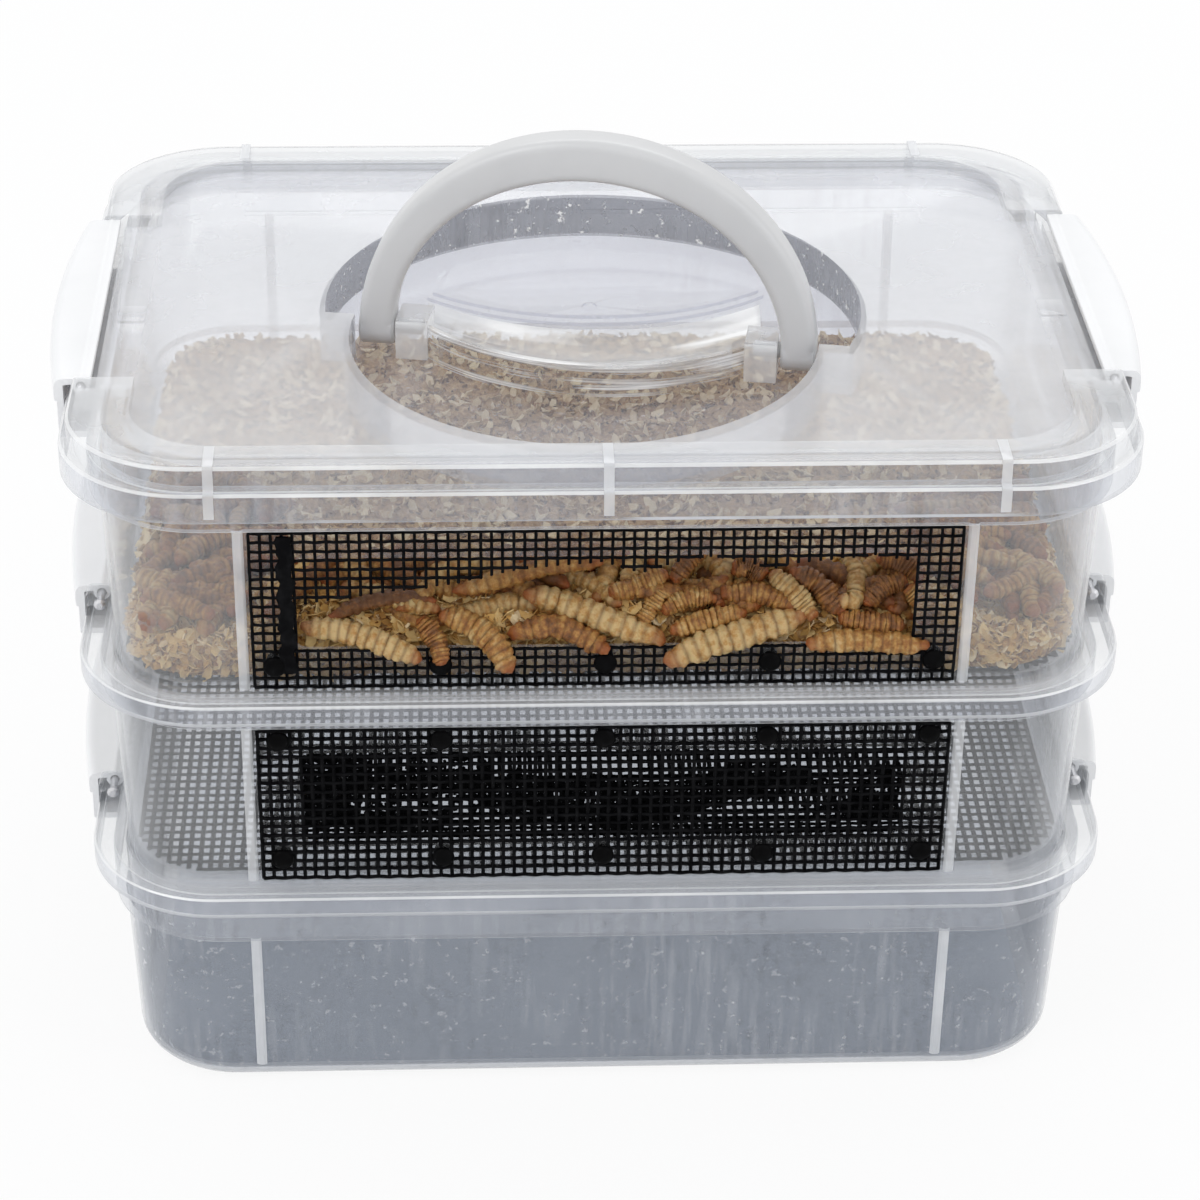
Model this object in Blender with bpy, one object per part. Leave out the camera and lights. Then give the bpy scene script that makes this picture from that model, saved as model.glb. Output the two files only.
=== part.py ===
"""A tiered mealworm breeding box: three stacked clear trays under a lid with a folding handle.

The origin is at the centre of the base tray's underside. +X is to the right, +Y to the back and +Z up.
The front, with the two mesh windows, faces -Y. All lengths are in metres.
"""

import math

import bmesh
import bpy
from mathutils import Matrix, Vector

MM = 0.001
QUARTER_TURN = math.pi / 2

# Plan sizes that every tier shares
SKIRT_HALF_X = 158.0 * MM
SKIRT_HALF_Y = 120.0 * MM
SKIRT_CORNER_RADIUS = 40.0 * MM
LID_WIDENING = 2.0 * MM
WALL = 1.8 * MM
EDGE_ROUND = 0.9 * MM
CORNER_STEPS = 5

# Heights of the stack
TIER_PITCH = 68.6 * MM
FIRST_SKIRT_Z = 71.3 * MM
SKIRT_HEIGHT = 6.9 * MM
LID_SKIRT_HEIGHT = 9.2 * MM
SEAT_GAP = 0.3 * MM

# Tray walls, as insets from the outside of the skirt above them
FOOT_INSET = 11.0 * MM
RIM_INSET = 8.4 * MM
LIP_PROUD = 2.4 * MM
LIP_ROUND = 0.6 * MM
BASE_LIP_HEIGHT = 18.1 * MM
MIDDLE_LIP_HEIGHT = 9.7 * MM
UPPER_LIP_HEIGHT = 13.6 * MM
BASE_EDGE_RADIUS = 8.0 * MM
BASE_EDGE_STEPS = 3
BASE_CORNER_GROWTH = 4.0 * MM
FLOOR_RIM_WIDTH = 9.2 * MM
SPIGOT_CLEARANCE = 0.6 * MM
SPIGOT_WALL = 1.6 * MM
SPIGOT_DEPTH = 3.2 * MM
OVERRUN = 2.0 * MM

# Wall ribs and side grip pads
RIB_FROM_END = 51.2 * MM
RIB_WIDTH = 3.2 * MM
RIB_PROUD = 1.2 * MM
PAD_HALF_Y = 60.0 * MM
PAD_PROUD = 2.2 * MM
PAD_BOTTOM = 27.0 * MM

# Mesh windows and mesh floors
NET_THICKNESS = 0.9 * MM
NET_BAR = 1.2 * MM
WINDOW_RIB_GAP = 3.1 * MM
WINDOW_COLUMNS = 17
WINDOW_ROWS = 2
WINDOW_EDGE_CELL = 5.25 * MM
RIVET_CELL = 5.5 * MM
NET_HEM = 1.5 * MM
NET_END_GAP = 0.5 * MM
WINDOW_SIDE_MARGIN = 12.0 * MM
WINDOW_END_MARGIN = 2.0 * MM
WINDOW_CORNER_RADIUS = 4.0 * MM
WINDOW_CORNER_STEPS = 3
FLOOR_NET_COLUMNS = 9
FLOOR_NET_ROWS = 6
FLOOR_NET_SIDE_GAP = 1.4 * MM
FLOOR_NET_BORDER = 8.5 * MM

# Rivets
RIVET_HEAD_RADIUS = 3.5 * MM
RIVET_HEAD_HEIGHT = 1.7 * MM
RIVET_SHANK_RADIUS = 1.6 * MM
RIVET_TAIL_RADIUS = 2.6 * MM
RIVET_TAIL_HEIGHT = 0.8 * MM
RIVET_CLEARANCE = 0.3 * MM
RIVET_COLUMNS = 5
MIDDLE_RIVET_ROWS = 2
UPPER_RIVET_ROWS = 1
RIVET_CELL_STEP = 4
RIVET_STEPS = 8
RIVET_DOME_STEPS = 3

# Lid
LID_UPPER_INSET = 2.5 * MM
LID_RIM_HEIGHT = 7.5 * MM
PANEL_DROP = 4.0 * MM
RIM_WIDTH_FRONT = 13.5 * MM
RIM_WIDTH_SIDE = 18.5 * MM
PANEL_CORNER_RADIUS = 26.0 * MM
LID_SPIGOT_DEPTH = 4.0 * MM
LID_RIB_FROM_END = 46.0 * MM
LID_RIB_WIDTH = 3.0 * MM
LID_RIB_PROUD = 0.6 * MM
LID_RIB_END = 1.6 * MM
MARK_GAP = 0.5 * MM
MARK_Y = -8.0 * MM
MARK_LENGTH = 8.0 * MM
MARK_WIDTH = 11.0 * MM
MARK_HEIGHT = 0.5 * MM

# Side latches, the notches in the lid that they sit in, and the ears on the trays
NOTCH_HALF_Y = 59.0 * MM
NOTCH_SWING = 4.2 * MM
POST_WALL = 4.0 * MM
LATCH_END_GAP = 1.0 * MM
LATCH_HINGE_INSET = 5.0 * MM
LATCH_HINGE_HEIGHT = 4.0 * MM
LATCH_TOP = 2.4 * MM
LATCH_PLATE = 1.9 * MM
LATCH_PLATE_BACK = 3.0 * MM
LATCH_REACH_END = 8.2 * MM
LATCH_REACH_MIDDLE = 13.0 * MM
LATCH_EDGE_DROP = 7.4 * MM
LATCH_EDGE_ROUND = 5.6 * MM
LATCH_BARREL_RADIUS = 2.6 * MM
LATCH_CLIP_GAP = 0.4 * MM
LATCH_CLIP_WALL = 2.0 * MM
LATCH_HOOK_GAP = 0.3 * MM
LATCH_HOOK_DROP = 1.8 * MM
LATCH_STATIONS = 9
LATCH_EDGE_STEPS = 4
PIN_RADIUS = 1.2 * MM
PIN_CLEARANCE = 0.3 * MM
PIN_DOME = 0.5 * MM
PIN_HEAD_RADIUS = 1.9 * MM
PIN_HEAD_HEIGHT = 1.1 * MM
EAR_LENGTH = 6.0 * MM
EAR_HEIGHT = 7.8 * MM
EAR_OUTER_INSET = 0.4 * MM
EAR_ROUND = 2.2 * MM

# Handle and its recess, which are turned a little on the lid
RECESS_Y = -1.0 * MM
RECESS_TURN = math.radians(-9.5)
RECESS_DEPTH = 14.0 * MM
RECESS_REAR_RADIUS = 84.0 * MM
RECESS_FRONT_HALF = 72.4 * MM
RECESS_FRONT_REACH = 75.0 * MM
RECESS_FRONT_SHIFT = -22.0 * MM
SHOULDER_SHIFT = -19.5 * MM
HANDLE_SHIFT = -13.0 * MM
HANDLE_PIVOT_DROP = 6.0 * MM
HANDLE_DEPTH = 12.0 * MM
HANDLE_OUTER_X = 71.5 * MM
HANDLE_OUTER_Z = 67.5 * MM
HANDLE_INNER_X = 60.5 * MM
HANDLE_INNER_Z = 54.0 * MM
HANDLE_BEVEL = 2.0 * MM
HANDLE_BEVEL_STEPS = 2
HANDLE_STATIONS = 22
HANDLE_PIN_RADIUS = 2.5 * MM
HANDLE_PIN_MARGIN = 2.2 * MM
BOSS_WIDTH = 10.0 * MM
BOSS_SIDE_GAP = 1.0 * MM
BOSS_HALF_DEPTH = 7.5 * MM
BOSS_TOP_DROP = 1.2 * MM
BOSS_BEVEL = 2.0 * MM
BOWL_HEIGHT = 10.5 * MM
BOWL_EDGE = 2.2 * MM
BOWL_HALF_X = 55.0 * MM
BOWL_SAG = 25.0 * MM
BOWL_STATIONS = 16
BOWL_STEPS = 5
BOWL_HOLLOW_START = 2
DISH_X = 2.5 * MM
DISH_Y = 37.0 * MM
DISH_HALF_X = 53.0 * MM
DISH_REAR_SAG = 18.0 * MM
DISH_FRONT_SAG = 18.5 * MM
DISH_DEPTH = 1.2 * MM
NUB_RADIUS = 2.4 * MM
NUB_HEIGHT = 1.5 * MM
NUB_TIP_SHARE = 0.55
NUB_Y = 27.0 * MM
ARC_STEPS = 20

# Bran bedding in the upper tray
BEDDING_SIDE_GAP = 2.2 * MM
BEDDING_EDGE_HEIGHT = 11.5 * MM
BEDDING_CELL = 12.0 * MM
BEDDING_WAVE = 1.4 * MM
BEDDING_WAVE_LENGTH = 46.0 * MM
BEDDING_WAVE_PHASE = 1.0
BEDDING_HEAP = 5.0 * MM
BEDDING_HEAP_Y = -62.0 * MM
BEDDING_HEAP_LENGTH = 95.0 * MM
BEDDING_HEAP_DEPTH = 34.0 * MM
PILE_HEIGHT = 13.0 * MM
PILE_Y = -88.0 * MM
PILE_DEPTH = 17.0 * MM
PILE_END_GAP = 60.0 * MM
PILE_END_SLOPE = 4.0 * MM
PILE_RIDGE = 2.0 * MM
PILE_RIDGE_LENGTH = 33.0 * MM
SIDE_PILE_HEIGHT = 5.0 * MM
SIDE_PILE_END_GAP = 39.0 * MM
SIDE_PILE_WIDTH = 17.0 * MM
SIDE_PILE_Y = -58.0 * MM
SIDE_PILE_LENGTH = 45.0 * MM
BEDDING_SHOULDER_SHARE = 0.7
BEDDING_RING_SHARES = (0.97, 0.91, 0.84, 0.77, 0.7, 0.6, 0.42, 0.2)

# Round parts are drawn with these many flats
SMALL_STEPS = 10
BORE_STEPS = 12
FOOT_STEPS = 16
SMOOTH_ANGLE = math.radians(35)
BEDDING_SMOOTH_ANGLE = math.radians(60)

# Finishes: colour, roughness and how far light goes through
CLEAR_FINISH = ((0.84, 0.85, 0.88), 0.25, 0.7)
WHITE_FINISH = ((0.9, 0.9, 0.9), 0.4, 0.0)
NET_FINISH = ((0.02, 0.02, 0.02), 0.6, 0.0)
RIVET_FINISH = ((0.03, 0.03, 0.03), 0.45, 0.0)
STEEL_FINISH = ((0.7, 0.7, 0.72), 0.3, 0.0)
BRAN_FINISH = ((0.66, 0.52, 0.36), 0.95, 0.0)
SHOW_THROUGH_SHARE = 0.6

# Values worked out from those above
MIDDLE_LEDGE_Z = FIRST_SKIRT_Z + SKIRT_HEIGHT
UPPER_LEDGE_Z = MIDDLE_LEDGE_Z + TIER_PITCH
LID_SKIRT_Z = FIRST_SKIRT_Z + 2 * TIER_PITCH
LID_LEDGE_Z = LID_SKIRT_Z + LID_SKIRT_HEIGHT
SEAT_DROP = WALL + SEAT_GAP
BASE_RIM_Z = MIDDLE_LEDGE_Z - SEAT_DROP
MIDDLE_RIM_Z = UPPER_LEDGE_Z - SEAT_DROP
UPPER_RIM_Z = LID_LEDGE_Z - SEAT_DROP
LID_TOP_Z = LID_LEDGE_Z + LID_RIM_HEIGHT
PANEL_Z = LID_TOP_Z - PANEL_DROP
RECESS_Z = PANEL_Z - RECESS_DEPTH
HANDLE_Z = PANEL_Z - HANDLE_PIVOT_DROP
HANDLE_BORE_RADIUS = HANDLE_PIN_RADIUS + PIN_CLEARANCE
LIP_INSET = RIM_INSET - LIP_PROUD
LID_HALF_X = SKIRT_HALF_X + LID_WIDENING
LID_HINGE_X = LID_HALF_X - LATCH_HINGE_INSET
NOTCH_X = LID_HINGE_X - NOTCH_SWING
POCKET_HALF_X = LID_HALF_X - LID_UPPER_INSET - RIM_WIDTH_SIDE
POCKET_HALF_Y = SKIRT_HALF_Y - LID_UPPER_INSET - RIM_WIDTH_FRONT
SPIGOT_INSET = RIM_INSET + WALL + SPIGOT_CLEARANCE
RIB_X = SKIRT_HALF_X - RIB_FROM_END
LID_RIB_X = LID_HALF_X - LID_RIB_FROM_END
WINDOW_CELL_X = 2 * (RIB_X - WINDOW_RIB_GAP) / WINDOW_COLUMNS
MARK_X = POCKET_HALF_X + MARK_GAP


def clear_scene():
    for old in list(bpy.data.objects):
        bpy.data.objects.remove(old, do_unlink=True)


def make_material(name, looks):
    colour, roughness, transmission = looks
    made = bpy.data.materials.new(name)
    made.use_nodes = True
    shader = made.node_tree.nodes["Principled BSDF"]
    shader.inputs["Base Color"].default_value = (*colour, 1.0)
    shader.inputs["Roughness"].default_value = roughness
    shader.inputs["Metallic"].default_value = 0.0
    shader.inputs["Transmission Weight"].default_value = transmission
    made.diffuse_color = (*colour, 1.0 - SHOW_THROUGH_SHARE * transmission)
    return made


def add_object(name, bm):
    """Turns a bmesh into an object of the scene, with its faces pointing outwards."""
    bmesh.ops.recalc_face_normals(bm, faces=bm.faces)
    mesh = bpy.data.meshes.new(name)
    bm.to_mesh(mesh)
    bm.free()
    made = bpy.data.objects.new(name, mesh)
    bpy.context.scene.collection.objects.link(made)
    return made


def place(obj, matrix):
    """Moves the mesh itself, so that the object's own place stays at the origin."""
    obj.data.transform(matrix)
    return obj


def loft(name, rings, closed_loop=False):
    """Bridges rings of equal point count. A loop comes back to its first ring, else its ends close."""
    bm = bmesh.new()
    rows = [[bm.verts.new(p) for p in ring] for ring in rings]
    pairs = list(zip(rows, rows[1:]))
    if closed_loop:
        pairs.append((rows[-1], rows[0]))
    for lower, upper in pairs:
        for i in range(len(lower)):
            j = (i + 1) % len(lower)
            bm.faces.new((lower[i], lower[j], upper[j], upper[i]))
    if not closed_loop:
        bm.faces.new(rows[0][::-1])
        bm.faces.new(rows[-1])
    return add_object(name, bm)


def prism(name, outline, low, high):
    return loft(name, [[(x, y, z) for x, y in outline] for z in (low, high)])


def block(name, low, high):
    outline = [(low[0], low[1]), (high[0], low[1]), (high[0], high[1]), (low[0], high[1])]
    return prism(name, outline, low[2], high[2])


def side_block(name, side, near, far, low_y, high_y, low, high):
    """A block between two distances from the middle, on the left (side -1) or the right (side 1)."""
    xs = sorted((side * near, side * far))
    return block(name, (xs[0], low_y, low), (xs[1], high_y, high))


def circle(radius, steps):
    return [
        (radius * math.cos(math.tau * k / steps), radius * math.sin(math.tau * k / steps))
        for k in range(steps)
    ]


def rod(name, axis, profile, centre, steps):
    """A round bar along X or Y. The profile lists radius and place along the axis."""
    rings = []
    for radius, along in profile:
        if axis == "X":
            ring = [(along, centre[1] + a, centre[2] + b) for a, b in circle(radius, steps)]
        else:
            ring = [(centre[0] + a, along, centre[2] + b) for a, b in circle(radius, steps)]
        rings.append(ring)
    return loft(name, rings)


def rounded_outline(half_x, half_y, radius, steps=CORNER_STEPS):
    """Anticlockwise points of a rectangle with round corners."""
    points = []
    for quarter, (side_x, side_y) in enumerate(((1, 1), (-1, 1), (-1, -1), (1, -1))):
        for k in range(steps + 1):
            turn = QUARTER_TURN * (quarter + k / steps)
            x = side_x * (half_x - radius) + radius * math.cos(turn)
            y = side_y * (half_y - radius) + radius * math.sin(turn)
            points.append((x, y))
    return points


def skirt_outline(inset, growth=0.0):
    """The outline at this inset from a tray's skirt. Growth makes its corners rounder."""
    radius = SKIRT_CORNER_RADIUS - inset + growth
    return rounded_outline(SKIRT_HALF_X - inset, SKIRT_HALF_Y - inset, radius)


def lid_outline(inset):
    return rounded_outline(LID_HALF_X - inset, SKIRT_HALF_Y - inset, SKIRT_CORNER_RADIUS - inset)


def stack(name, outline_at, levels, closed_loop=False):
    """A loft of one family of outlines. The levels list inset and height."""
    rings = [[(x, y, z) for x, y in outline_at(inset)] for inset, z in levels]
    return loft(name, rings, closed_loop)


def combine(target, other, operation):
    """Applies one Boolean to the target and removes the other object."""
    modifier = target.modifiers.new(operation.title(), "BOOLEAN")
    modifier.operation = operation
    modifier.object = other
    modifier.solver = "EXACT"
    bpy.context.view_layer.update()
    graph = bpy.context.evaluated_depsgraph_get()
    mesh = bpy.data.meshes.new_from_object(target.evaluated_get(graph))
    target.modifiers.clear()
    old = target.data
    target.data = mesh
    bpy.data.meshes.remove(old)
    bpy.data.objects.remove(other, do_unlink=True)
    return target


def cut(target, *cutters):
    for cutter in cutters:
        combine(target, cutter, "DIFFERENCE")
    return target


def fuse(target, *others):
    for other in others:
        combine(target, other, "UNION")
    return target


def finish(obj, material, angle=SMOOTH_ANGLE):
    """Gives a finished piece its material and smooth shading."""
    obj.data.materials.clear()
    obj.data.materials.append(material)
    obj.data.shade_smooth()
    obj.data.set_sharp_from_angle(angle=angle)
    return obj


# Trays


class Tier:
    """One tray: the height of its foot and its rim, the lip band below its rim, and its rows of rivets."""

    def __init__(self, name, foot_z, rim_z, lip_height, rivet_rows):
        self.name = name
        self.rivet_rows = rivet_rows
        self.foot_z = foot_z
        self.rim_z = rim_z
        self.lip_height = lip_height
        self.lip_z = rim_z - lip_height
        self.height = rim_z - foot_z
        self.draft = math.atan2(FOOT_INSET - RIM_INSET, self.height)
        self.net_height = self.height - lip_height - 2 * NET_END_GAP

    def wall_inset(self, z):
        """Inset of the outside of the leaning wall at this height."""
        return FOOT_INSET + (RIM_INSET - FOOT_INSET) * (z - self.foot_z) / self.height

    def rim_profile(self, low_z):
        """The wall from low_z, out round the lip and over the rim, and down the inside to low_z."""
        return [
            (self.wall_inset(low_z), low_z),
            (self.wall_inset(self.lip_z), self.lip_z),
            (LIP_INSET + LIP_ROUND, self.lip_z),
            (LIP_INSET, self.lip_z + LIP_ROUND),
            (LIP_INSET, self.rim_z - LIP_ROUND),
            (LIP_INSET + LIP_ROUND, self.rim_z),
            (RIM_INSET + WALL - LIP_ROUND, self.rim_z),
            (RIM_INSET + WALL, self.rim_z - LIP_ROUND),
            (self.wall_inset(low_z) + WALL, low_z),
        ]

    def front_wall(self, up, out):
        """Places a piece built flat in X and Z on the leaning front wall, out from its outside."""
        foot = Matrix.Translation((0, FOOT_INSET - SKIRT_HALF_Y, self.foot_z))
        return foot @ Matrix.Rotation(self.draft, 4, "X") @ Matrix.Translation((0, -out, up))

    def row_heights(self):
        """Distances up the wall of the lower and the upper row of cells that rivets may go through."""
        low = NET_END_GAP + WINDOW_EDGE_CELL + RIVET_CELL / 2
        high = NET_END_GAP + self.net_height - NET_HEM - RIVET_CELL / 2
        return low, high

    def rivet_places(self):
        """Distances along X and up the wall of the rivets of one window, lower row first."""
        half = RIVET_COLUMNS // 2
        step = RIVET_CELL_STEP * WINDOW_CELL_X
        ups = self.row_heights()[: self.rivet_rows]
        return [(k * step, up) for up in ups for k in range(-half, half + 1)]


STAND = Matrix.Rotation(math.radians(90), 4, "X")


def wall_rib(tier, side, low, x):
    """A straight rib on the front (side -1) or back (side 1) wall, which leans with the wall."""
    high = tier.rim_z - tier.lip_height / 2
    profile = []
    for z in (low, high):
        profile.append((SKIRT_HALF_Y - tier.wall_inset(z) + RIB_PROUD, z))
    for z in (high, low):
        profile.append((SKIRT_HALF_Y - tier.wall_inset(z) - WALL / 2, z))
    ends = (x - RIB_WIDTH / 2, x + RIB_WIDTH / 2)
    return loft("rib", [[(end, side * y, z) for y, z in profile] for end in ends])


def side_pad(tier, side):
    """The shallow grip pad on a short side, which ends in a step part of the way down the wall."""
    rings = []
    for z in (tier.foot_z + PAD_BOTTOM, tier.rim_z - tier.lip_height / 2):
        outer = SKIRT_HALF_X - tier.wall_inset(z) + PAD_PROUD
        inner = outer - PAD_PROUD - WALL / 2
        slope = 2 * PAD_PROUD
        ring = [(inner, -PAD_HALF_Y), (outer, slope - PAD_HALF_Y)]
        ring += [(outer, PAD_HALF_Y - slope), (inner, PAD_HALF_Y)]
        rings.append([(side * x, y, z) for x, y in ring])
    return loft("pad", rings)


def add_ribs_and_pads(tray, tier, rib_low):
    for side in (-1, 1):
        for x in (-RIB_X, RIB_X):
            fuse(tray, wall_rib(tier, side, rib_low, x))
        fuse(tray, side_pad(tier, side))


def make_base_tray(tier, material):
    """The bottom tray, swept as one profile from the underside, over the rim and to the floor."""
    edge = BASE_EDGE_RADIUS
    turns = [QUARTER_TURN * k / BASE_EDGE_STEPS for k in range(1, BASE_EDGE_STEPS)]
    foot = tier.wall_inset(edge)
    profile = [(foot + edge, 0.0)]
    for a in turns:
        profile.append((foot + edge * (1 - math.sin(a)), edge * (1 - math.cos(a))))
    profile += tier.rim_profile(edge)
    inner = edge - WALL
    for a in reversed(turns):
        inset = foot + WALL + inner * (1 - math.sin(a))
        profile.append((inset, WALL + inner * (1 - math.cos(a))))
    profile.append((foot + WALL + inner, WALL))
    rings = []
    for inset, z in profile:
        growth = BASE_CORNER_GROWTH * (1 - z / tier.rim_z)
        rings.append([(x, y, z) for x, y in skirt_outline(inset, growth)])
    tray = loft("base_tray", rings)
    add_ribs_and_pads(tray, tier, edge)
    return finish(tray, material)


def make_tier_tray(tier, material):
    """A tray on a flange that covers the tier below, with a window and an open floor for mesh."""
    ledge_z = tier.foot_z
    under = ledge_z - WALL
    skirt_z = ledge_z - SKIRT_HEIGHT
    frame_inset = FOOT_INSET + WALL + FLOOR_RIM_WIDTH
    profile = [(0.0, skirt_z), (0.0, ledge_z - EDGE_ROUND), (EDGE_ROUND, ledge_z)]
    profile += tier.rim_profile(ledge_z)
    profile += [
        (frame_inset, ledge_z),
        (frame_inset, under),
        (SPIGOT_INSET + SPIGOT_WALL, under),
        (SPIGOT_INSET + SPIGOT_WALL, under - SPIGOT_DEPTH),
        (SPIGOT_INSET, under - SPIGOT_DEPTH),
        (SPIGOT_INSET, under),
        (WALL, under),
        (WALL, skirt_z),
    ]
    tray = stack(tier.name + "_tray", skirt_outline, profile, closed_loop=True)
    add_ribs_and_pads(tray, tier, ledge_z - WALL / 2)
    cut_window(tray, tier)
    add_ears(tray, ledge_z)
    return finish(tray, material)


def cut_window(tray, tier):
    """The window opening and the rivet holes in the front wall."""
    half = WINDOW_COLUMNS * WINDOW_CELL_X / 2 - WINDOW_SIDE_MARGIN
    lower_row, upper_row = tier.row_heights()
    low = lower_row + RIVET_CELL / 2 + WINDOW_END_MARGIN
    high = upper_row - RIVET_CELL / 2 - WINDOW_END_MARGIN
    outline = rounded_outline(half, (high - low) / 2, WINDOW_CORNER_RADIUS, WINDOW_CORNER_STEPS)
    cutter = prism("opening", outline, -WALL - OVERRUN, OVERRUN)
    place(cutter, tier.front_wall((low + high) / 2, 0.0) @ STAND)
    cut(tray, cutter)
    reach = WALL + OVERRUN
    for x, up in tier.rivet_places():
        radius = RIVET_SHANK_RADIUS + RIVET_CLEARANCE
        hole = rod("hole", "Y", [(radius, -reach), (radius, reach)], (x, 0.0, 0.0), RIVET_STEPS)
        cut(tray, place(hole, tier.front_wall(up, 0.0)))


def add_ears(tray, ledge_z):
    """Four ears on the ledge, each bored for the end of a latch pin."""
    hinge_x = SKIRT_HALF_X - LATCH_HINGE_INSET
    outer = SKIRT_HALF_X - EAR_OUTER_INSET
    inner = SKIRT_HALF_X - FOOT_INSET - WALL / 2
    top = ledge_z + EAR_HEIGHT
    outline = [
        (inner, ledge_z - WALL / 2),
        (outer, ledge_z - WALL / 2),
        (outer, top - EAR_ROUND),
        (outer - EAR_ROUND, top),
        (inner, top),
    ]
    radius = PIN_RADIUS + PIN_CLEARANCE
    for side in (-1, 1):
        for end in (-1, 1):
            ys = (end * NOTCH_HALF_Y, end * (NOTCH_HALF_Y + EAR_LENGTH))
            fuse(tray, loft("ear", [[(side * x, y, z) for x, z in outline] for y in ys]))
        spot = (side * hinge_x, 0.0, ledge_z + LATCH_HINGE_HEIGHT)
        reach = NOTCH_HALF_Y + EAR_LENGTH + OVERRUN
        cut(tray, rod("bore", "Y", [(radius, -reach), (radius, reach)], spot, SMALL_STEPS))


# Nets, rivets and bedding


def grid_net(plate, lines_x, lines_y, keep=None):
    """Cuts the cells between the bar lines out of a flat plate that lies in X and Y."""
    bm = bmesh.new()
    for x0, x1 in zip(lines_x, lines_x[1:]):
        for y0, y1 in zip(lines_y, lines_y[1:]):
            cell = (x0 + NET_BAR / 2, x1 - NET_BAR / 2, y0 + NET_BAR / 2, y1 - NET_BAR / 2)
            if keep and not keep(cell):
                continue
            made = bmesh.ops.create_cube(bm, size=1.0)
            size = (cell[1] - cell[0], cell[3] - cell[2], NET_THICKNESS + OVERRUN)
            spot = ((cell[0] + cell[1]) / 2, (cell[2] + cell[3]) / 2, 0.0)
            bmesh.ops.scale(bm, vec=size, verts=made["verts"])
            bmesh.ops.translate(bm, vec=spot, verts=made["verts"])
    return cut(plate, add_object("cells", bm))


def make_window_net(tier, material, feeding_hole):
    """The mesh outside the window. Its lower and upper rows are set by the rivets that clamp it.

    A feeding hole takes the place of the rows between the rivets, all but the first and last column.
    """
    height = tier.net_height
    half = WINDOW_COLUMNS * WINDOW_CELL_X / 2
    low = WINDOW_EDGE_CELL + RIVET_CELL
    high = height - NET_HEM - RIVET_CELL
    lines_x = [k * WINDOW_CELL_X - half for k in range(WINDOW_COLUMNS + 1)]
    lines_z = [NET_BAR / 2, WINDOW_EDGE_CELL]
    lines_z += [low + (high - low) * k / WINDOW_ROWS for k in range(WINDOW_ROWS + 1)]
    lines_z.append(height - NET_HEM)
    edge = half + NET_BAR / 2
    outline = [(-edge, 0.0), (edge, 0.0), (edge, height), (-edge, height)]
    plate = prism(tier.name + "_window_mesh", outline, -NET_THICKNESS / 2, NET_THICKNESS / 2)
    left, right = lines_x[1], lines_x[-2]

    def beside_hole(cell):
        return cell[1] < left or cell[0] > right or cell[3] < low or cell[2] > high

    net = grid_net(plate, lines_x, lines_z, beside_hole if feeding_hole else None)
    if feeding_hole:
        bar = NET_BAR / 2
        xs = (left + bar, right - bar)
        ys = (low + bar, high - bar)
        hole = [(xs[0], ys[0]), (xs[1], ys[0]), (xs[1], ys[1]), (xs[0], ys[1])]
        cut(net, prism("hole", hole, -OVERRUN, OVERRUN))
    out = SEAT_GAP + NET_THICKNESS / 2
    place(net, tier.front_wall(NET_END_GAP, out) @ STAND)
    return finish(net, material)


def make_floor_net(tier, material):
    """The mesh floor, which lies on the frame at the foot of the walls."""
    inset = FOOT_INSET + WALL + FLOOR_NET_SIDE_GAP
    deep = NET_THICKNESS / 2
    plate = prism(tier.name + "_floor_mesh", skirt_outline(inset), -deep, deep)
    half_x = SKIRT_HALF_X - inset - FLOOR_NET_BORDER
    half_y = SKIRT_HALF_Y - inset - FLOOR_NET_BORDER
    corner = SKIRT_CORNER_RADIUS - inset
    lines_x = [half_x * (2 * k / FLOOR_NET_COLUMNS - 1) for k in range(FLOOR_NET_COLUMNS + 1)]
    lines_y = [half_y * (2 * k / FLOOR_NET_ROWS - 1) for k in range(FLOOR_NET_ROWS + 1)]

    def inside(cell):
        reach_x = max(abs(cell[0]), abs(cell[1])) - (half_x - corner + FLOOR_NET_BORDER)
        reach_y = max(abs(cell[2]), abs(cell[3])) - (half_y - corner + FLOOR_NET_BORDER)
        return reach_x < 0 or reach_y < 0 or math.hypot(reach_x, reach_y) < corner - NET_BAR

    net = grid_net(plate, lines_x, lines_y, inside)
    place(net, Matrix.Translation((0, 0, tier.foot_z + SEAT_GAP + NET_THICKNESS / 2)))
    return finish(net, material)


def make_rivet(name, tier, x, up, material):
    """A round-head rivet: dome outside the net, shank through net and wall, and a flat tail inside."""
    outside = 2 * SEAT_GAP + NET_THICKNESS
    inside = WALL + SEAT_GAP
    profile = []
    for k in reversed(range(RIVET_DOME_STEPS)):
        turn = QUARTER_TURN * k / RIVET_DOME_STEPS
        radius = RIVET_HEAD_RADIUS * math.cos(turn)
        profile.append((radius, -outside - RIVET_HEAD_HEIGHT * math.sin(turn)))
    profile += [
        (RIVET_SHANK_RADIUS, -outside),
        (RIVET_SHANK_RADIUS, inside),
        (RIVET_TAIL_RADIUS, inside),
        (RIVET_TAIL_RADIUS, inside + RIVET_TAIL_HEIGHT),
    ]
    rivet = rod(name, "Y", profile, (x, 0.0, 0.0), RIVET_STEPS)
    place(rivet, tier.front_wall(up, 0.0))
    return finish(rivet, material)


def bedding_height(x, y):
    wave = math.sin(x / BEDDING_WAVE_LENGTH * math.tau + BEDDING_WAVE_PHASE)
    wave *= math.cos(y / BEDDING_WAVE_LENGTH * math.tau)
    along = x / BEDDING_HEAP_LENGTH
    across = (y - BEDDING_HEAP_Y) / BEDDING_HEAP_DEPTH
    heap = math.exp(-along * along - across * across)
    level = BEDDING_EDGE_HEIGHT + BEDDING_WAVE * wave + BEDDING_HEAP * heap
    return level + pile_height(x, y)


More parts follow.
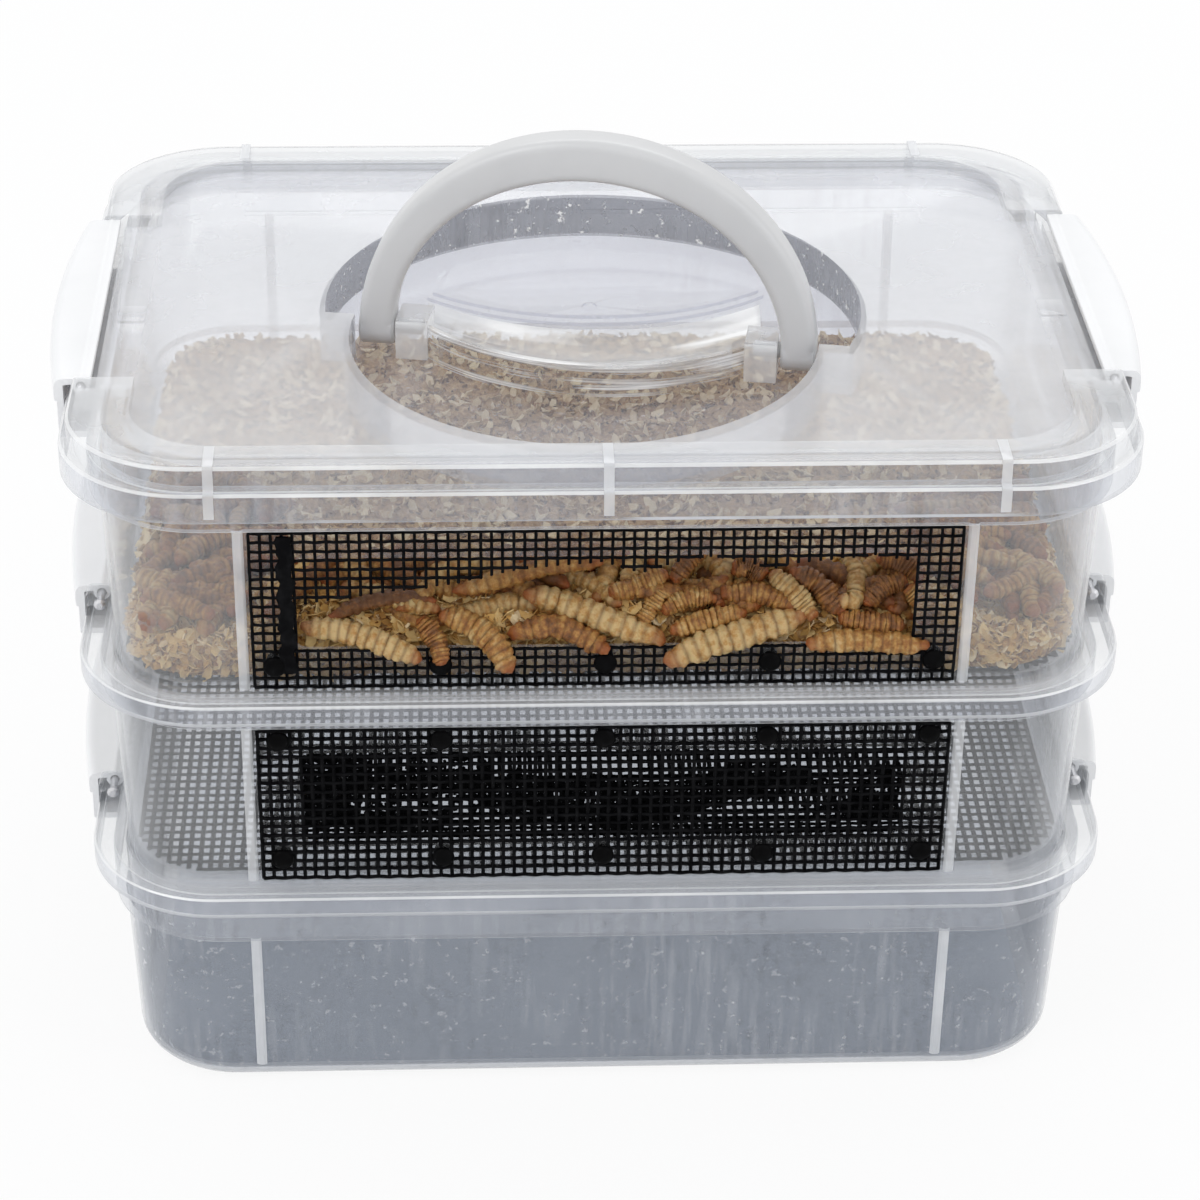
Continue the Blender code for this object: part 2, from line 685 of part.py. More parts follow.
def pile_height(x, y):
    """Height of the larvae that lie heaped behind the window and at both sides of it."""
    across = (y - PILE_Y) / PILE_DEPTH
    past_end = (abs(x) - (SKIRT_HALF_X - PILE_END_GAP)) / PILE_END_SLOPE
    ridges = PILE_RIDGE * math.sin(x / PILE_RIDGE_LENGTH * math.tau)
    front = (PILE_HEIGHT + ridges) * math.exp(-across * across) / (1 + math.exp(past_end))
    out = (abs(x) - (SKIRT_HALF_X - SIDE_PILE_END_GAP)) / SIDE_PILE_WIDTH
    along = (y - SIDE_PILE_Y) / SIDE_PILE_LENGTH
    return front + SIDE_PILE_HEIGHT * math.exp(-out * out - along * along)


def make_bedding(tier, material):
    """A bed of bran on the floor, with the heaped larvae as part of the same solid."""
    floor_z = tier.foot_z + 2 * SEAT_GAP + NET_THICKNESS
    inset = FOOT_INSET + WALL + BEDDING_SIDE_GAP
    outline = []
    corners = skirt_outline(inset)
    for start, end in zip(corners, corners[1:] + corners[:1]):
        cells = max(1, round(math.dist(start, end) / BEDDING_CELL))
        for k in range(cells):
            share = k / cells
            outline.append(tuple(a + (b - a) * share for a, b in zip(start, end)))
    rings = [[(x, y, floor_z) for x, y in outline]]
    levels = [(1.0, BEDDING_SHOULDER_SHARE)] + [(share, 1.0) for share in BEDDING_RING_SHARES]
    for share, rise in levels:
        ring = []
        for x, y in outline:
            height = rise * bedding_height(share * x, share * y)
            ring.append((share * x, share * y, floor_z + height))
        rings.append(ring)
    return finish(loft("bran_bedding", rings), material, BEDDING_SMOOTH_ANGLE)


# Side latches


def latch_section(reach):
    """Outline of the finger plate in the plane across the hinge: distance outwards, then up."""
    turns = [QUARTER_TURN * k / LATCH_EDGE_STEPS for k in range(LATCH_EDGE_STEPS + 1)]
    centre_u = reach - LATCH_EDGE_ROUND
    centre_w = LATCH_TOP - LATCH_EDGE_ROUND
    low = LATCH_TOP - LATCH_EDGE_DROP
    inner = LATCH_EDGE_ROUND - LATCH_PLATE
    section = [(-LATCH_PLATE_BACK, LATCH_TOP)]
    round_off = LATCH_EDGE_ROUND
    for a in turns:
        section.append((centre_u + round_off * math.sin(a), centre_w + round_off * math.cos(a)))
    section += [(reach, low), (reach - LATCH_PLATE, low)]
    for a in reversed(turns):
        section.append((centre_u + inner * math.sin(a), centre_w + inner * math.cos(a)))
    section.append((-LATCH_PLATE_BACK, LATCH_TOP - LATCH_PLATE))
    return section


def make_latch(name, side, skirt_half_x, ledge_z, skirt_height, material):
    """A D-shaped wing: finger plate, hinge barrel and a clip wall that hooks on the rim below."""
    half = NOTCH_HALF_Y - LATCH_END_GAP
    hinge_x = skirt_half_x - LATCH_HINGE_INSET
    rings = []
    for k in range(LATCH_STATIONS):
        y = half * math.sin(QUARTER_TURN * (2 * k / (LATCH_STATIONS - 1) - 1))
        bulge = 1 - (y / half) ** 2
        reach = LATCH_REACH_END + (LATCH_REACH_MIDDLE - LATCH_REACH_END) * bulge
        rings.append([(side * u, y, w) for u, w in latch_section(reach)])
    latch = loft(name, rings)
    clip_in = LATCH_HINGE_INSET + LATCH_CLIP_GAP
    clip_out = clip_in + LATCH_CLIP_WALL
    hook_top = -LATCH_HINGE_HEIGHT - skirt_height - LATCH_HOOK_DROP
    hook_low = hook_top - LATCH_CLIP_WALL
    tip = SKIRT_HALF_X - LIP_INSET + LATCH_HOOK_GAP - hinge_x
    clip = [
        (clip_in, LATCH_TOP - LATCH_PLATE / 2),
        (clip_in, hook_top),
        (tip, hook_top),
        (tip, hook_low + LATCH_CLIP_WALL / 2),
        (tip + LATCH_CLIP_WALL / 2, hook_low),
        (clip_out, hook_low),
        (clip_out, LATCH_TOP - LATCH_PLATE / 2),
    ]
    fuse(latch, loft("clip", [[(side * u, y, w) for u, w in clip] for y in (-half, half)]))
    axis = (0.0, 0.0, 0.0)
    barrel = [(LATCH_BARREL_RADIUS, -half), (LATCH_BARREL_RADIUS, half)]
    fuse(latch, rod("barrel", "Y", barrel, axis, BORE_STEPS))
    radius = PIN_RADIUS + PIN_CLEARANCE
    reach = half + OVERRUN
    cut(latch, rod("bore", "Y", [(radius, -reach), (radius, reach)], axis, SMALL_STEPS))
    latch.location = (side * hinge_x, 0.0, ledge_z + LATCH_HINGE_HEIGHT)
    return finish(latch, material)


def make_latch_pin(name, side, skirt_half_x, ledge_z, in_post, material):
    """A latch hinge pin: plain in the lid's posts, with domed heads through a tray's ears."""
    if in_post:
        end = NOTCH_HALF_Y + POST_WALL - 2 * SEAT_GAP - PIN_CLEARANCE
        profile = [(PIN_RADIUS, -end + PIN_DOME), (PIN_RADIUS - PIN_DOME, -end)]
    else:
        end = NOTCH_HALF_Y + EAR_LENGTH + SEAT_GAP
        profile = [
            (PIN_RADIUS, -end),
            (PIN_HEAD_RADIUS, -end),
            (PIN_HEAD_RADIUS, -end - PIN_HEAD_HEIGHT / 2),
            (PIN_HEAD_RADIUS / 2, -end - PIN_HEAD_HEIGHT),
        ]
    profile = profile[::-1] + [(radius, -along) for radius, along in profile]
    pin = rod(name, "Y", profile, (0.0, 0.0, 0.0), SMALL_STEPS)
    hinge_x = skirt_half_x - LATCH_HINGE_INSET
    pin.location = (side * hinge_x, 0.0, ledge_z + LATCH_HINGE_HEIGHT)
    return finish(pin, material)


# Lid


def recess_frame():
    """From the turned frame of the recess and its handle to the lid."""
    return Matrix.Translation((0, RECESS_Y, 0)) @ Matrix.Rotation(RECESS_TURN, 4, "Z")


def recess_outline(growth):
    """The recess in plan: a round rear part, two shoulders and a narrower round front part."""
    line = SHOULDER_SHIFT - growth
    rear = RECESS_REAR_RADIUS + growth
    start = math.asin(line / rear)
    points = []
    for k in range(ARC_STEPS + 1):
        turn = start + (math.pi - 2 * start) * k / ARC_STEPS
        points.append((rear * math.cos(turn), rear * math.sin(turn)))
    half = RECESS_FRONT_HALF + growth
    reach = RECESS_FRONT_REACH + growth
    start = math.asin((line - RECESS_FRONT_SHIFT) / reach)
    for k in range(ARC_STEPS + 1):
        turn = math.pi - start + (math.pi + 2 * start) * k / ARC_STEPS
        points.append((half * math.cos(turn), RECESS_FRONT_SHIFT + reach * math.sin(turn)))
    return points


def arc_points(half, sag, steps):
    """A shallow arc from (-half, 0) to (half, 0) whose middle is at (0, -sag)."""
    radius = (half * half + sag * sag) / (2 * sag)
    reach = math.asin(half / radius)
    turns = [reach * (2 * k / steps - 1) for k in range(steps + 1)]
    return [(radius * math.sin(a), radius - sag - radius * math.cos(a)) for a in turns]


def lens_outline(growth):
    """The finger dish: two shallow arcs that meet at its left and right ends."""
    steps = ARC_STEPS // 2
    wide = DISH_HALF_X + growth
    front = arc_points(wide, DISH_FRONT_SAG + growth, steps)
    rear = [(x, -y) for x, y in arc_points(wide, DISH_REAR_SAG + growth, steps)]
    return [(DISH_X + x, DISH_Y + y) for x, y in front[:-1] + rear[:0:-1]]


def bowl_wall(name, shrink, first, low):
    """The concave wall that rises from the dish to a smile-shaped edge between the two hinge bosses.

    With a shrink it is the hollow under that wall, which starts at the station first and stays off the dish.
    """
    dish = arc_points(DISH_HALF_X, DISH_FRONT_SAG, BOWL_STATIONS)
    smile = arc_points(BOWL_HALF_X, BOWL_SAG, BOWL_STATIONS)
    turned = recess_frame()
    rings = []
    for station in range(first, BOWL_STATIONS + 1 - first):
        dish_x, dish_y = dish[station]
        smile_x, smile_y = smile[station]
        foot = Vector((DISH_X + dish_x, DISH_Y + dish_y, 0))
        edge = turned @ Vector((smile_x, HANDLE_SHIFT + smile_y, 0))
        away = (edge - foot).normalized()
        edge = edge - away * shrink
        back = edge - away * BOWL_EDGE
        steps = range(first, BOWL_STEPS + 1)
        start = foot.lerp(back, steps[0] / BOWL_STEPS)
        ring = [(start.x, start.y, low)]
        for k in steps:
            share = k / BOWL_STEPS
            spot = foot.lerp(back, share)
            rise = BOWL_HEIGHT * (1 - math.sqrt(1 - share * share))
            ring.append((spot.x, spot.y, RECESS_Z + rise - shrink))
        ring.append((edge.x, edge.y, RECESS_Z + BOWL_HEIGHT - shrink))
        ring.append((edge.x, edge.y, low))
        rings.append(ring)
    return loft(name, rings)


def lid_rib(side, x):
    """A raised strip that runs over the rim, down to the ledge and down the skirt."""
    top_y = SKIRT_HALF_Y - LID_UPPER_INSET
    far_y = top_y - RIM_WIDTH_FRONT + WALL / 2
    end_z = LID_SKIRT_Z + LID_RIB_END
    proud = LID_RIB_PROUD
    bite = WALL / 2
    outer = [
        (far_y, LID_TOP_Z + proud),
        (top_y - EDGE_ROUND, LID_TOP_Z + proud),
        (top_y + proud, LID_TOP_Z - EDGE_ROUND),
        (top_y + proud, LID_LEDGE_Z + proud),
        (SKIRT_HALF_Y - EDGE_ROUND / 2, LID_LEDGE_Z + proud),
        (SKIRT_HALF_Y + proud, LID_LEDGE_Z - EDGE_ROUND),
        (SKIRT_HALF_Y + proud, end_z),
    ]
    inner = [
        (SKIRT_HALF_Y - bite, end_z),
        (SKIRT_HALF_Y - bite, LID_LEDGE_Z - bite),
        (top_y - bite, LID_LEDGE_Z - bite),
        (top_y - bite, LID_TOP_Z - bite),
        (far_y, LID_TOP_Z - bite),
    ]
    ends = (x - LID_RIB_WIDTH / 2, x + LID_RIB_WIDTH / 2)
    return loft("lid_rib", [[(end, side * y, z) for y, z in outer + inner] for end in ends])


def panel_outline(growth):
    return rounded_outline(POCKET_HALF_X + growth, POCKET_HALF_Y + growth, PANEL_CORNER_RADIUS + growth)


def both_sides(name, near, half_y, low, high):
    far = LID_HALF_X + OVERRUN
    return [side_block(name, side, near, far, -half_y, half_y, low, high) for side in (-1, 1)]


def make_lid(material):
    """The lid: stacked outer forms less the hollow inside them, then recess, ring and ribs."""
    above = LID_TOP_Z + OVERRUN
    near = POCKET_HALF_X - OVERRUN
    skirt = [(0.0, LID_SKIRT_Z), (0.0, LID_LEDGE_Z - EDGE_ROUND), (EDGE_ROUND, LID_LEDGE_Z)]
    lid = stack("lid", lid_outline, skirt)
    inset = LID_UPPER_INSET
    upper = [(inset, LID_LEDGE_Z - WALL), (inset, LID_TOP_Z - EDGE_ROUND), (inset + EDGE_ROUND, LID_TOP_Z)]
    fuse(lid, stack("upper", lid_outline, upper))
    cut(lid, prism("pocket", panel_outline(0.0), PANEL_Z, above))
    cut(lid, *both_sides("widening", near, NOTCH_HALF_Y, PANEL_Z, above))
    cut(lid, *both_sides("notch", NOTCH_X, NOTCH_HALF_Y, LID_LEDGE_Z, above))
    inset += WALL
    post_y = NOTCH_HALF_Y + POST_WALL
    hollow = stack("hollow", lid_outline, [(inset, LID_LEDGE_Z - 2 * WALL), (inset, LID_TOP_Z - WALL)])
    cut(hollow, prism("pocket", panel_outline(WALL), PANEL_Z - WALL, above))
    cut(hollow, *both_sides("widening", near, NOTCH_HALF_Y + WALL, PANEL_Z - WALL, above))
    cut(hollow, *both_sides("notch", NOTCH_X - WALL, post_y, LID_LEDGE_Z - WALL, above))
    cut(lid, hollow)
    mouth = [(WALL, LID_SKIRT_Z - OVERRUN), (WALL, LID_LEDGE_Z - WALL)]
    cut(lid, stack("mouth", lid_outline, mouth))
    fuse(lid, lid_ring(near, above))
    add_recess(lid)
    for x in (-LID_RIB_X, 0.0, LID_RIB_X):
        fuse(lid, lid_rib(-1, x), lid_rib(1, x))
    for side in (-1, 1):
        far = MARK_X + MARK_LENGTH
        low_y = MARK_Y - MARK_WIDTH / 2
        mark = side_block(
            "mark", side, MARK_X, far, low_y, low_y + MARK_WIDTH, PANEL_Z - WALL / 2, PANEL_Z + MARK_HEIGHT
        )
        fuse(lid, mark)
        spot = (side * LID_HINGE_X, 0.0, LID_LEDGE_Z + LATCH_HINGE_HEIGHT)
        radius = PIN_RADIUS + PIN_CLEARANCE
        reach = NOTCH_HALF_Y + POST_WALL - 2 * SEAT_GAP
        cut(lid, rod("bore", "Y", [(radius, -reach), (radius, reach)], spot, SMALL_STEPS))
    return finish(lid, material)


def lid_ring(near, above):
    """The ring that drops inside the rim of the upper tray."""
    low = LID_LEDGE_Z - WALL - LID_SPIGOT_DEPTH
    ring = stack("ring", skirt_outline, [(SPIGOT_INSET, low), (SPIGOT_INSET, LID_TOP_Z - WALL / 2)])
    inset = SPIGOT_INSET + SPIGOT_WALL
    cut(ring, stack("inside", skirt_outline, [(inset, low - OVERRUN), (inset, above)]))
    return cut(ring, *both_sides("widening", near, NOTCH_HALF_Y, PANEL_Z - WALL / 2, above))


def add_recess(lid):
    """The sunk pan for the handle, with its hinge bosses, bowl wall, finger dish and gate nub."""
    turned = recess_frame()
    pan_z = RECESS_Z - WALL
    fuse(lid, place(prism("pan", recess_outline(WALL), pan_z, PANEL_Z - WALL / 2), turned))
    fuse(lid, prism("dish", lens_outline(WALL), pan_z - DISH_DEPTH, pan_z + WALL / 2))
    cut(lid, place(prism("hollow", recess_outline(0.0), RECESS_Z, PANEL_Z + OVERRUN), turned))
    cut(lid, prism("dish", lens_outline(0.0), RECESS_Z - DISH_DEPTH, RECESS_Z + OVERRUN))
    fuse(lid, bowl_wall("bowl", 0.0, 0, pan_z + WALL / 4))
    cut(lid, bowl_wall("under_bowl", WALL, BOWL_HOLLOW_START, pan_z - DISH_DEPTH - OVERRUN))
    pivot = turned @ Matrix.Translation((0, HANDLE_SHIFT, 0))
    bite = RECESS_Z - WALL / 2
    top = PANEL_Z - BOSS_TOP_DROP
    deep = BOSS_HALF_DEPTH
    outline = [
        (-deep, bite),
        (deep, bite),
        (deep, top - BOSS_BEVEL),
        (deep - BOSS_BEVEL, top),
        (BOSS_BEVEL - deep, top),
        (-deep, top - BOSS_BEVEL),
    ]
    far = HANDLE_INNER_X - BOSS_SIDE_GAP
    for side in (-1, 1):
        xs = (side * (far - BOSS_WIDTH), side * far)
        fuse(lid, place(loft("boss", [[(x, y, z) for y, z in outline] for x in xs]), pivot))
        ends = sorted((side * (far - BOSS_WIDTH + HANDLE_PIN_MARGIN - SEAT_GAP), side * (far + OVERRUN)))
        bore = [(HANDLE_BORE_RADIUS, x) for x in ends]
        cut(lid, place(rod("bore", "X", bore, (0.0, 0.0, HANDLE_Z), BORE_STEPS), pivot))
    floor_z = RECESS_Z - DISH_DEPTH
    levels = (
        (1.0, floor_z - WALL / 2),
        (1.0, floor_z + NUB_HEIGHT / 2),
        (NUB_TIP_SHARE, floor_z + NUB_HEIGHT),
    )
    rings = []
    for share, z in levels:
        rings.append([(x, NUB_Y + y, z) for x, y in circle(share * NUB_RADIUS, SMALL_STEPS)])
    fuse(lid, loft("nub", rings))


# Handle


def handle_frame():
    """From the handle's own frame, with its pivots on X and its arch upright, to the lid."""
    return recess_frame() @ Matrix.Translation((0, HANDLE_SHIFT, HANDLE_Z))


def handle_section(turn):
    """The soft-cornered section of the arch at this turn, between the outer and the inner ellipse."""
    outer = Vector((HANDLE_OUTER_X * math.cos(turn), 0, HANDLE_OUTER_Z * math.sin(turn)))
    inner = Vector((HANDLE_INNER_X * math.cos(turn), 0, HANDLE_INNER_Z * math.sin(turn)))
    across = (outer - inner).normalized()
    half = HANDLE_DEPTH / 2
    soft = HANDLE_BEVEL
    section = []
    corners = ((outer, -1, -1), (outer, -1, 1), (inner, 1, 1), (inner, 1, -1))
    for number, (end, inwards, face) in enumerate(corners):
        steps = []
        for k in range(HANDLE_BEVEL_STEPS + 1):
            a = QUARTER_TURN * k / HANDLE_BEVEL_STEPS
            down = soft * (1 - math.sin(a))
            back = soft * (1 - math.cos(a))
            steps.append(end + across * (inwards * down) + Vector((0, face * (half - back), 0)))
        section += steps if number % 2 == 0 else steps[::-1]
    return [tuple(point) for point in section]


def make_handle(material):
    """The arch, swept between two ellipses, with round feet that are bored for the pivot pins."""
    turns = [math.pi * k / HANDLE_STATIONS for k in range(HANDLE_STATIONS + 1)]
    handle = loft("carry_handle", [handle_section(turn) for turn in turns])
    for side in (-1, 1):
        spot = (0.0, 0.0, 0.0)
        ends = sorted((side * HANDLE_INNER_X, side * HANDLE_OUTER_X))
        foot = [(HANDLE_DEPTH / 2, x) for x in ends]
        fuse(handle, rod("foot", "X", foot, spot, FOOT_STEPS))
        bore_end = HANDLE_OUTER_X - HANDLE_PIN_MARGIN + SEAT_GAP
        ends = sorted((side * (HANDLE_INNER_X - OVERRUN), side * bore_end))
        bore = [(HANDLE_BORE_RADIUS, x) for x in ends]
        cut(handle, rod("bore", "X", bore, spot, BORE_STEPS))
    frame = handle_frame()
    handle.rotation_euler = frame.to_euler()
    handle.location = frame.to_translation()
    return finish(handle, material)


def make_handle_pin(name, side, material):
    low = HANDLE_INNER_X - BOSS_SIDE_GAP - BOSS_WIDTH + HANDLE_PIN_MARGIN
    high = HANDLE_OUTER_X - HANDLE_PIN_MARGIN
    profile = [
        (HANDLE_PIN_RADIUS - PIN_DOME, side * low),
        (HANDLE_PIN_RADIUS, side * (low + PIN_DOME)),
        (HANDLE_PIN_RADIUS, side * (high - PIN_DOME)),
        (HANDLE_PIN_RADIUS - PIN_DOME, side * high),
    ]
    pin = rod(name, "X", profile, (0.0, 0.0, 0.0), BORE_STEPS)
    return finish(place(pin, handle_frame()), material)


def main():
    clear_scene()
    clear_plastic = make_material("clear_polypropylene", CLEAR_FINISH)
    white = make_material("white_moulding", WHITE_FINISH)
    black_net = make_material("black_woven_mesh", NET_FINISH)
    black_rivet = make_material("black_rivet", RIVET_FINISH)
    steel = make_material("hinge_pin_steel", STEEL_FINISH)
    bran = make_material("bran", BRAN_FINISH)

    base = Tier("base", 0.0, BASE_RIM_Z, BASE_LIP_HEIGHT, 0)
    middle = Tier("middle", MIDDLE_LEDGE_Z, MIDDLE_RIM_Z, MIDDLE_LIP_HEIGHT, MIDDLE_RIVET_ROWS)
    upper = Tier("upper", UPPER_LEDGE_Z, UPPER_RIM_Z, UPPER_LIP_HEIGHT, UPPER_RIVET_ROWS)
    make_base_tray(base, clear_plastic)
    for tier in (middle, upper):
        make_tier_tray(tier, clear_plastic)
        make_window_net(tier, black_net, tier is upper)
        make_floor_net(tier, black_net)
        for number, (x, up) in enumerate(tier.rivet_places(), 1):
            make_rivet(f"{tier.name}_rivet_{number:02d}", tier, x, up, black_rivet)
    make_bedding(upper, bran)
    make_lid(clear_plastic)
    make_handle(white)
    interfaces = (
        ("middle", SKIRT_HALF_X, MIDDLE_LEDGE_Z, SKIRT_HEIGHT),
        ("upper", SKIRT_HALF_X, UPPER_LEDGE_Z, SKIRT_HEIGHT),
        ("lid", LID_HALF_X, LID_LEDGE_Z, LID_SKIRT_HEIGHT),
    )
    for side, word in ((-1, "left"), (1, "right")):
        make_handle_pin("handle_pin_" + word, side, white)
        for name, half_x, ledge_z, skirt_height in interfaces:
            make_latch(f"{name}_latch_{word}", side, half_x, ledge_z, skirt_height, white)
            make_latch_pin(f"{name}_latch_pin_{word}", side, half_x, ledge_z, name == "lid", steel)


main()
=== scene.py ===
# %% [markdown]
# A tiered mealworm breeding box. Three clear moulded trays stack under a clipped lid with a folding handle.
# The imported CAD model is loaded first, because every piece below takes its place and its motion from it.
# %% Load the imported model
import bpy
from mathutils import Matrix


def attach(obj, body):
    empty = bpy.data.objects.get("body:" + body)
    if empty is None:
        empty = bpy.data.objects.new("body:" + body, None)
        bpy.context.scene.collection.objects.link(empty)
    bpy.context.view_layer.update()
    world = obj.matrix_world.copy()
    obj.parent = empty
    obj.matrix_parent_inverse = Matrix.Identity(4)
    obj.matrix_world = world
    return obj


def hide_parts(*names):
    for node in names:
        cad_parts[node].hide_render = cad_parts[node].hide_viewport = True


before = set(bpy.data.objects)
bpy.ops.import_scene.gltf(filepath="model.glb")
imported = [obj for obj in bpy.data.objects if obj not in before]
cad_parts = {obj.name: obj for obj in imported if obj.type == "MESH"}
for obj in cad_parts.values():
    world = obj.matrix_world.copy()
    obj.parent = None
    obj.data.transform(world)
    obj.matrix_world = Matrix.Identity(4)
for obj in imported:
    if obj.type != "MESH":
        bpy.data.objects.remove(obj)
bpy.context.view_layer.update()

# %% Modules and the length unit
import math
import random

import bmesh
import bpy
from mathutils import Matrix, Vector, noise

MM = 0.001
SEED = 11
scene = bpy.context.scene

# %% [markdown]
# The camera stands where the photograph was taken: about a metre in front, looking down at thirty degrees.
# Its place could be judged by eye; here it was fitted to the box's edges, so the numbers are kept as found.
# %% Camera
CAMERA_PLACE = Vector((-43.431, -987.665, 686.795)) * MM
CAMERA_YAW = -0.04738
CAMERA_PITCH = 0.52626
CAMERA_ROLL = 0.01323
CAMERA_LENS = 103.97


def make_camera():
    level = math.cos(CAMERA_PITCH)
    ahead = Vector((-math.sin(CAMERA_YAW) * level, math.cos(CAMERA_YAW) * level, -math.sin(CAMERA_PITCH)))
    right = Vector((math.cos(CAMERA_YAW), math.sin(CAMERA_YAW), 0.0))
    up = right.cross(ahead)
    tilt_right = right * math.cos(CAMERA_ROLL) + up * math.sin(CAMERA_ROLL)
    tilt_up = up * math.cos(CAMERA_ROLL) - right * math.sin(CAMERA_ROLL)
    turn = Matrix((tilt_right, tilt_up, -ahead)).transposed()
    data = bpy.data.cameras.new("photo_camera")
    data.lens = CAMERA_LENS
    data.sensor_width = 36.0
    data.clip_start = 0.01
    data.clip_end = 50.0
    camera = bpy.data.objects.new("photo_camera", data)
    camera.matrix_world = Matrix.Translation(CAMERA_PLACE) @ turn.to_4x4()
    scene.collection.objects.link(camera)
    scene.camera = camera


make_camera()
print("camera lens", CAMERA_LENS)

# %% [markdown]
# Every finish is a node tree. This small helper keeps the trees short: it adds a node, sets its values and
# joins its inputs, so that a material below reads as a list of what feeds what.
# %% Material helper


class Finish:
    """A material under construction, with its texture coordinates ready."""

    def __init__(self, name):
        self.material = bpy.data.materials.new(name)
        self.material.use_nodes = True
        self.tree = self.material.node_tree
        self.tree.nodes.clear()
        self.output = self.tree.nodes.new("ShaderNodeOutputMaterial")
        self.place = self.tree.nodes.new("ShaderNodeTexCoord").outputs["Object"]

    def add(self, kind, inputs=(), **settings):
        node = self.tree.nodes.new(kind)
        for key, value in settings.items():
            setattr(node, key, value)
        for key, value in dict(inputs).items():
            if isinstance(value, bpy.types.NodeSocket):
                self.tree.links.new(value, node.inputs[key])
            else:
                node.inputs[key].default_value = value
        return node

    def stretched(self, scale):
        return self.add("ShaderNodeMapping", {"Vector": self.place, "Scale": scale}).outputs[0]

    def noise(self, scale, detail=3.0, vector=None, roughness=0.5):
        inputs = {"Vector": vector or self.place, "Scale": scale, "Detail": detail, "Roughness": roughness}
        return self.add("ShaderNodeTexNoise", inputs).outputs["Fac"]

    def fit(self, value, low, high, to_low=0.0, to_high=1.0):
        inputs = {"Value": value, "From Min": low, "From Max": high, "To Min": to_low, "To Max": to_high}
        return self.add("ShaderNodeMapRange", inputs).outputs["Result"]

    def sum(self, operation, first, second, clamp=False):
        return self.add("ShaderNodeMath", {0: first, 1: second}, operation=operation, use_clamp=clamp).outputs[0]

    def ramp(self, value, stops):
        node = self.add("ShaderNodeValToRGB", {"Fac": value})
        while len(node.color_ramp.elements) < len(stops):
            node.color_ramp.elements.new(0.5)
        for element, (position, colour) in zip(node.color_ramp.elements, stops):
            element.position = position
            element.color = (*colour, 1.0)
        return node.outputs["Color"]

    def bump(self, height, distance, strength=1.0):
        inputs = {"Height": height, "Distance": distance, "Strength": strength}
        return self.add("ShaderNodeBump", inputs).outputs["Normal"]

    def surface(self, shader):
        self.tree.links.new(shader, self.output.inputs["Surface"])
        return self.material


print("material helper ready")

# %% [markdown]
# Clear polypropylene is slightly milky. Light goes through it, a little is scattered, and edges seen at a low
# angle look white. Real refraction in so many thin walls would be slow and dark, so each skin is a mix of a
# tinted see-through shader and a glossy white one, and the share of white grows towards grazing angles.
# %% Clear plastics


def clear_plastic(name, haze, tint, body, edge=0.75, roughness=0.16, streaks=0.0, marks=0.0, bands=0.0):
    finish = Finish(name)
    cloud = finish.fit(finish.noise(38.0, 4.0), 0.3, 0.7, 0.82 * haze, 1.18 * haze)
    if streaks:
        lines = finish.noise(1.0, 2.0, finish.stretched((330.0, 330.0, 26.0)))
        patch = finish.fit(finish.noise(24.0, 3.0), 0.42, 0.62)
        lines = finish.sum("MULTIPLY", finish.fit(lines, 0.48, 0.72, 0.0, streaks), patch)
        cloud = finish.sum("ADD", cloud, lines)
    colour = (*body, 1.0)
    if marks:
        flecks = finish.fit(finish.noise(330.0, 2.0, roughness=0.75), 0.63, 0.69)
        cloud = finish.sum("ADD", cloud, finish.sum("MULTIPLY", flecks, marks))
        colour = finish.ramp(flecks, ((0.0, body), (1.0, (0.97, 0.972, 0.98))))
    if bands:
        curls = finish.noise(1.0, 2.0, finish.stretched((16.0, 16.0, 520.0)), 0.6)
        cloud = finish.sum("ADD", cloud, finish.fit(curls, 0.5, 0.64, 0.0, bands))
    facing = finish.add("ShaderNodeLayerWeight", {"Blend": 0.5}).outputs["Facing"]
    rim = finish.sum("MULTIPLY", finish.sum("POWER", facing, 3.2), edge)
    share = finish.sum("ADD", cloud, rim, True)
    ripple = finish.noise(140.0, 2.0)
    normal = finish.bump(ripple, 0.00005, 0.5)
    gloss = finish.add(
        "ShaderNodeBsdfPrincipled",
        {
            "Base Color": colour,
            "Roughness": roughness,
            "IOR": 1.49,
            "Coat Weight": 0.6,
            "Coat Roughness": 0.06,
            "Normal": normal,
        },
    )
    through = finish.add("ShaderNodeBsdfTransparent", {"Color": (*tint, 1.0)})
    mixed = finish.add("ShaderNodeMixShader", {0: share, 1: through.outputs[0], 2: gloss.outputs[0]})
    return finish.surface(mixed.outputs[0])


PALE_BODY = (0.90, 0.908, 0.922)
wall_plastic = clear_plastic("clear_tray_wall", 0.115, (0.955, 0.96, 0.966), PALE_BODY, streaks=0.06)
# lit and shaded copies of one clear plastic: level faces get a paler body as painted light, upright skirt faces a
# darker body as painted shade
level_faces_painted_light = clear_plastic("clear_flange", 0.18, (0.975, 0.978, 0.982), (0.965, 0.968, 0.975))
upright_faces_painted_shade = clear_plastic("clear_skirt", 0.11, (0.93, 0.936, 0.95), (0.80, 0.81, 0.84), streaks=0.16)
# painted highlight: the small rounds and the lower edge of each skirt get a near-white finish
edge_painted_highlight = clear_plastic("bright_moulded_edge", 0.66, (0.97, 0.972, 0.976), (0.97, 0.972, 0.976), 0.3)
# painted highlight: ribs and a stripe at the upper tray's wall step get a milky white finish
rib_painted_highlight = clear_plastic("rib_line", 0.52, (0.94, 0.948, 0.962), (0.93, 0.938, 0.955), 0.3)
panel_plastic = clear_plastic("frosted_lid_panel", 0.21, (0.95, 0.955, 0.975), (0.90, 0.904, 0.914))
recess_plastic = clear_plastic("clear_recess", 0.04, (0.90, 0.905, 0.94), PALE_BODY, roughness=0.08, marks=0.12)
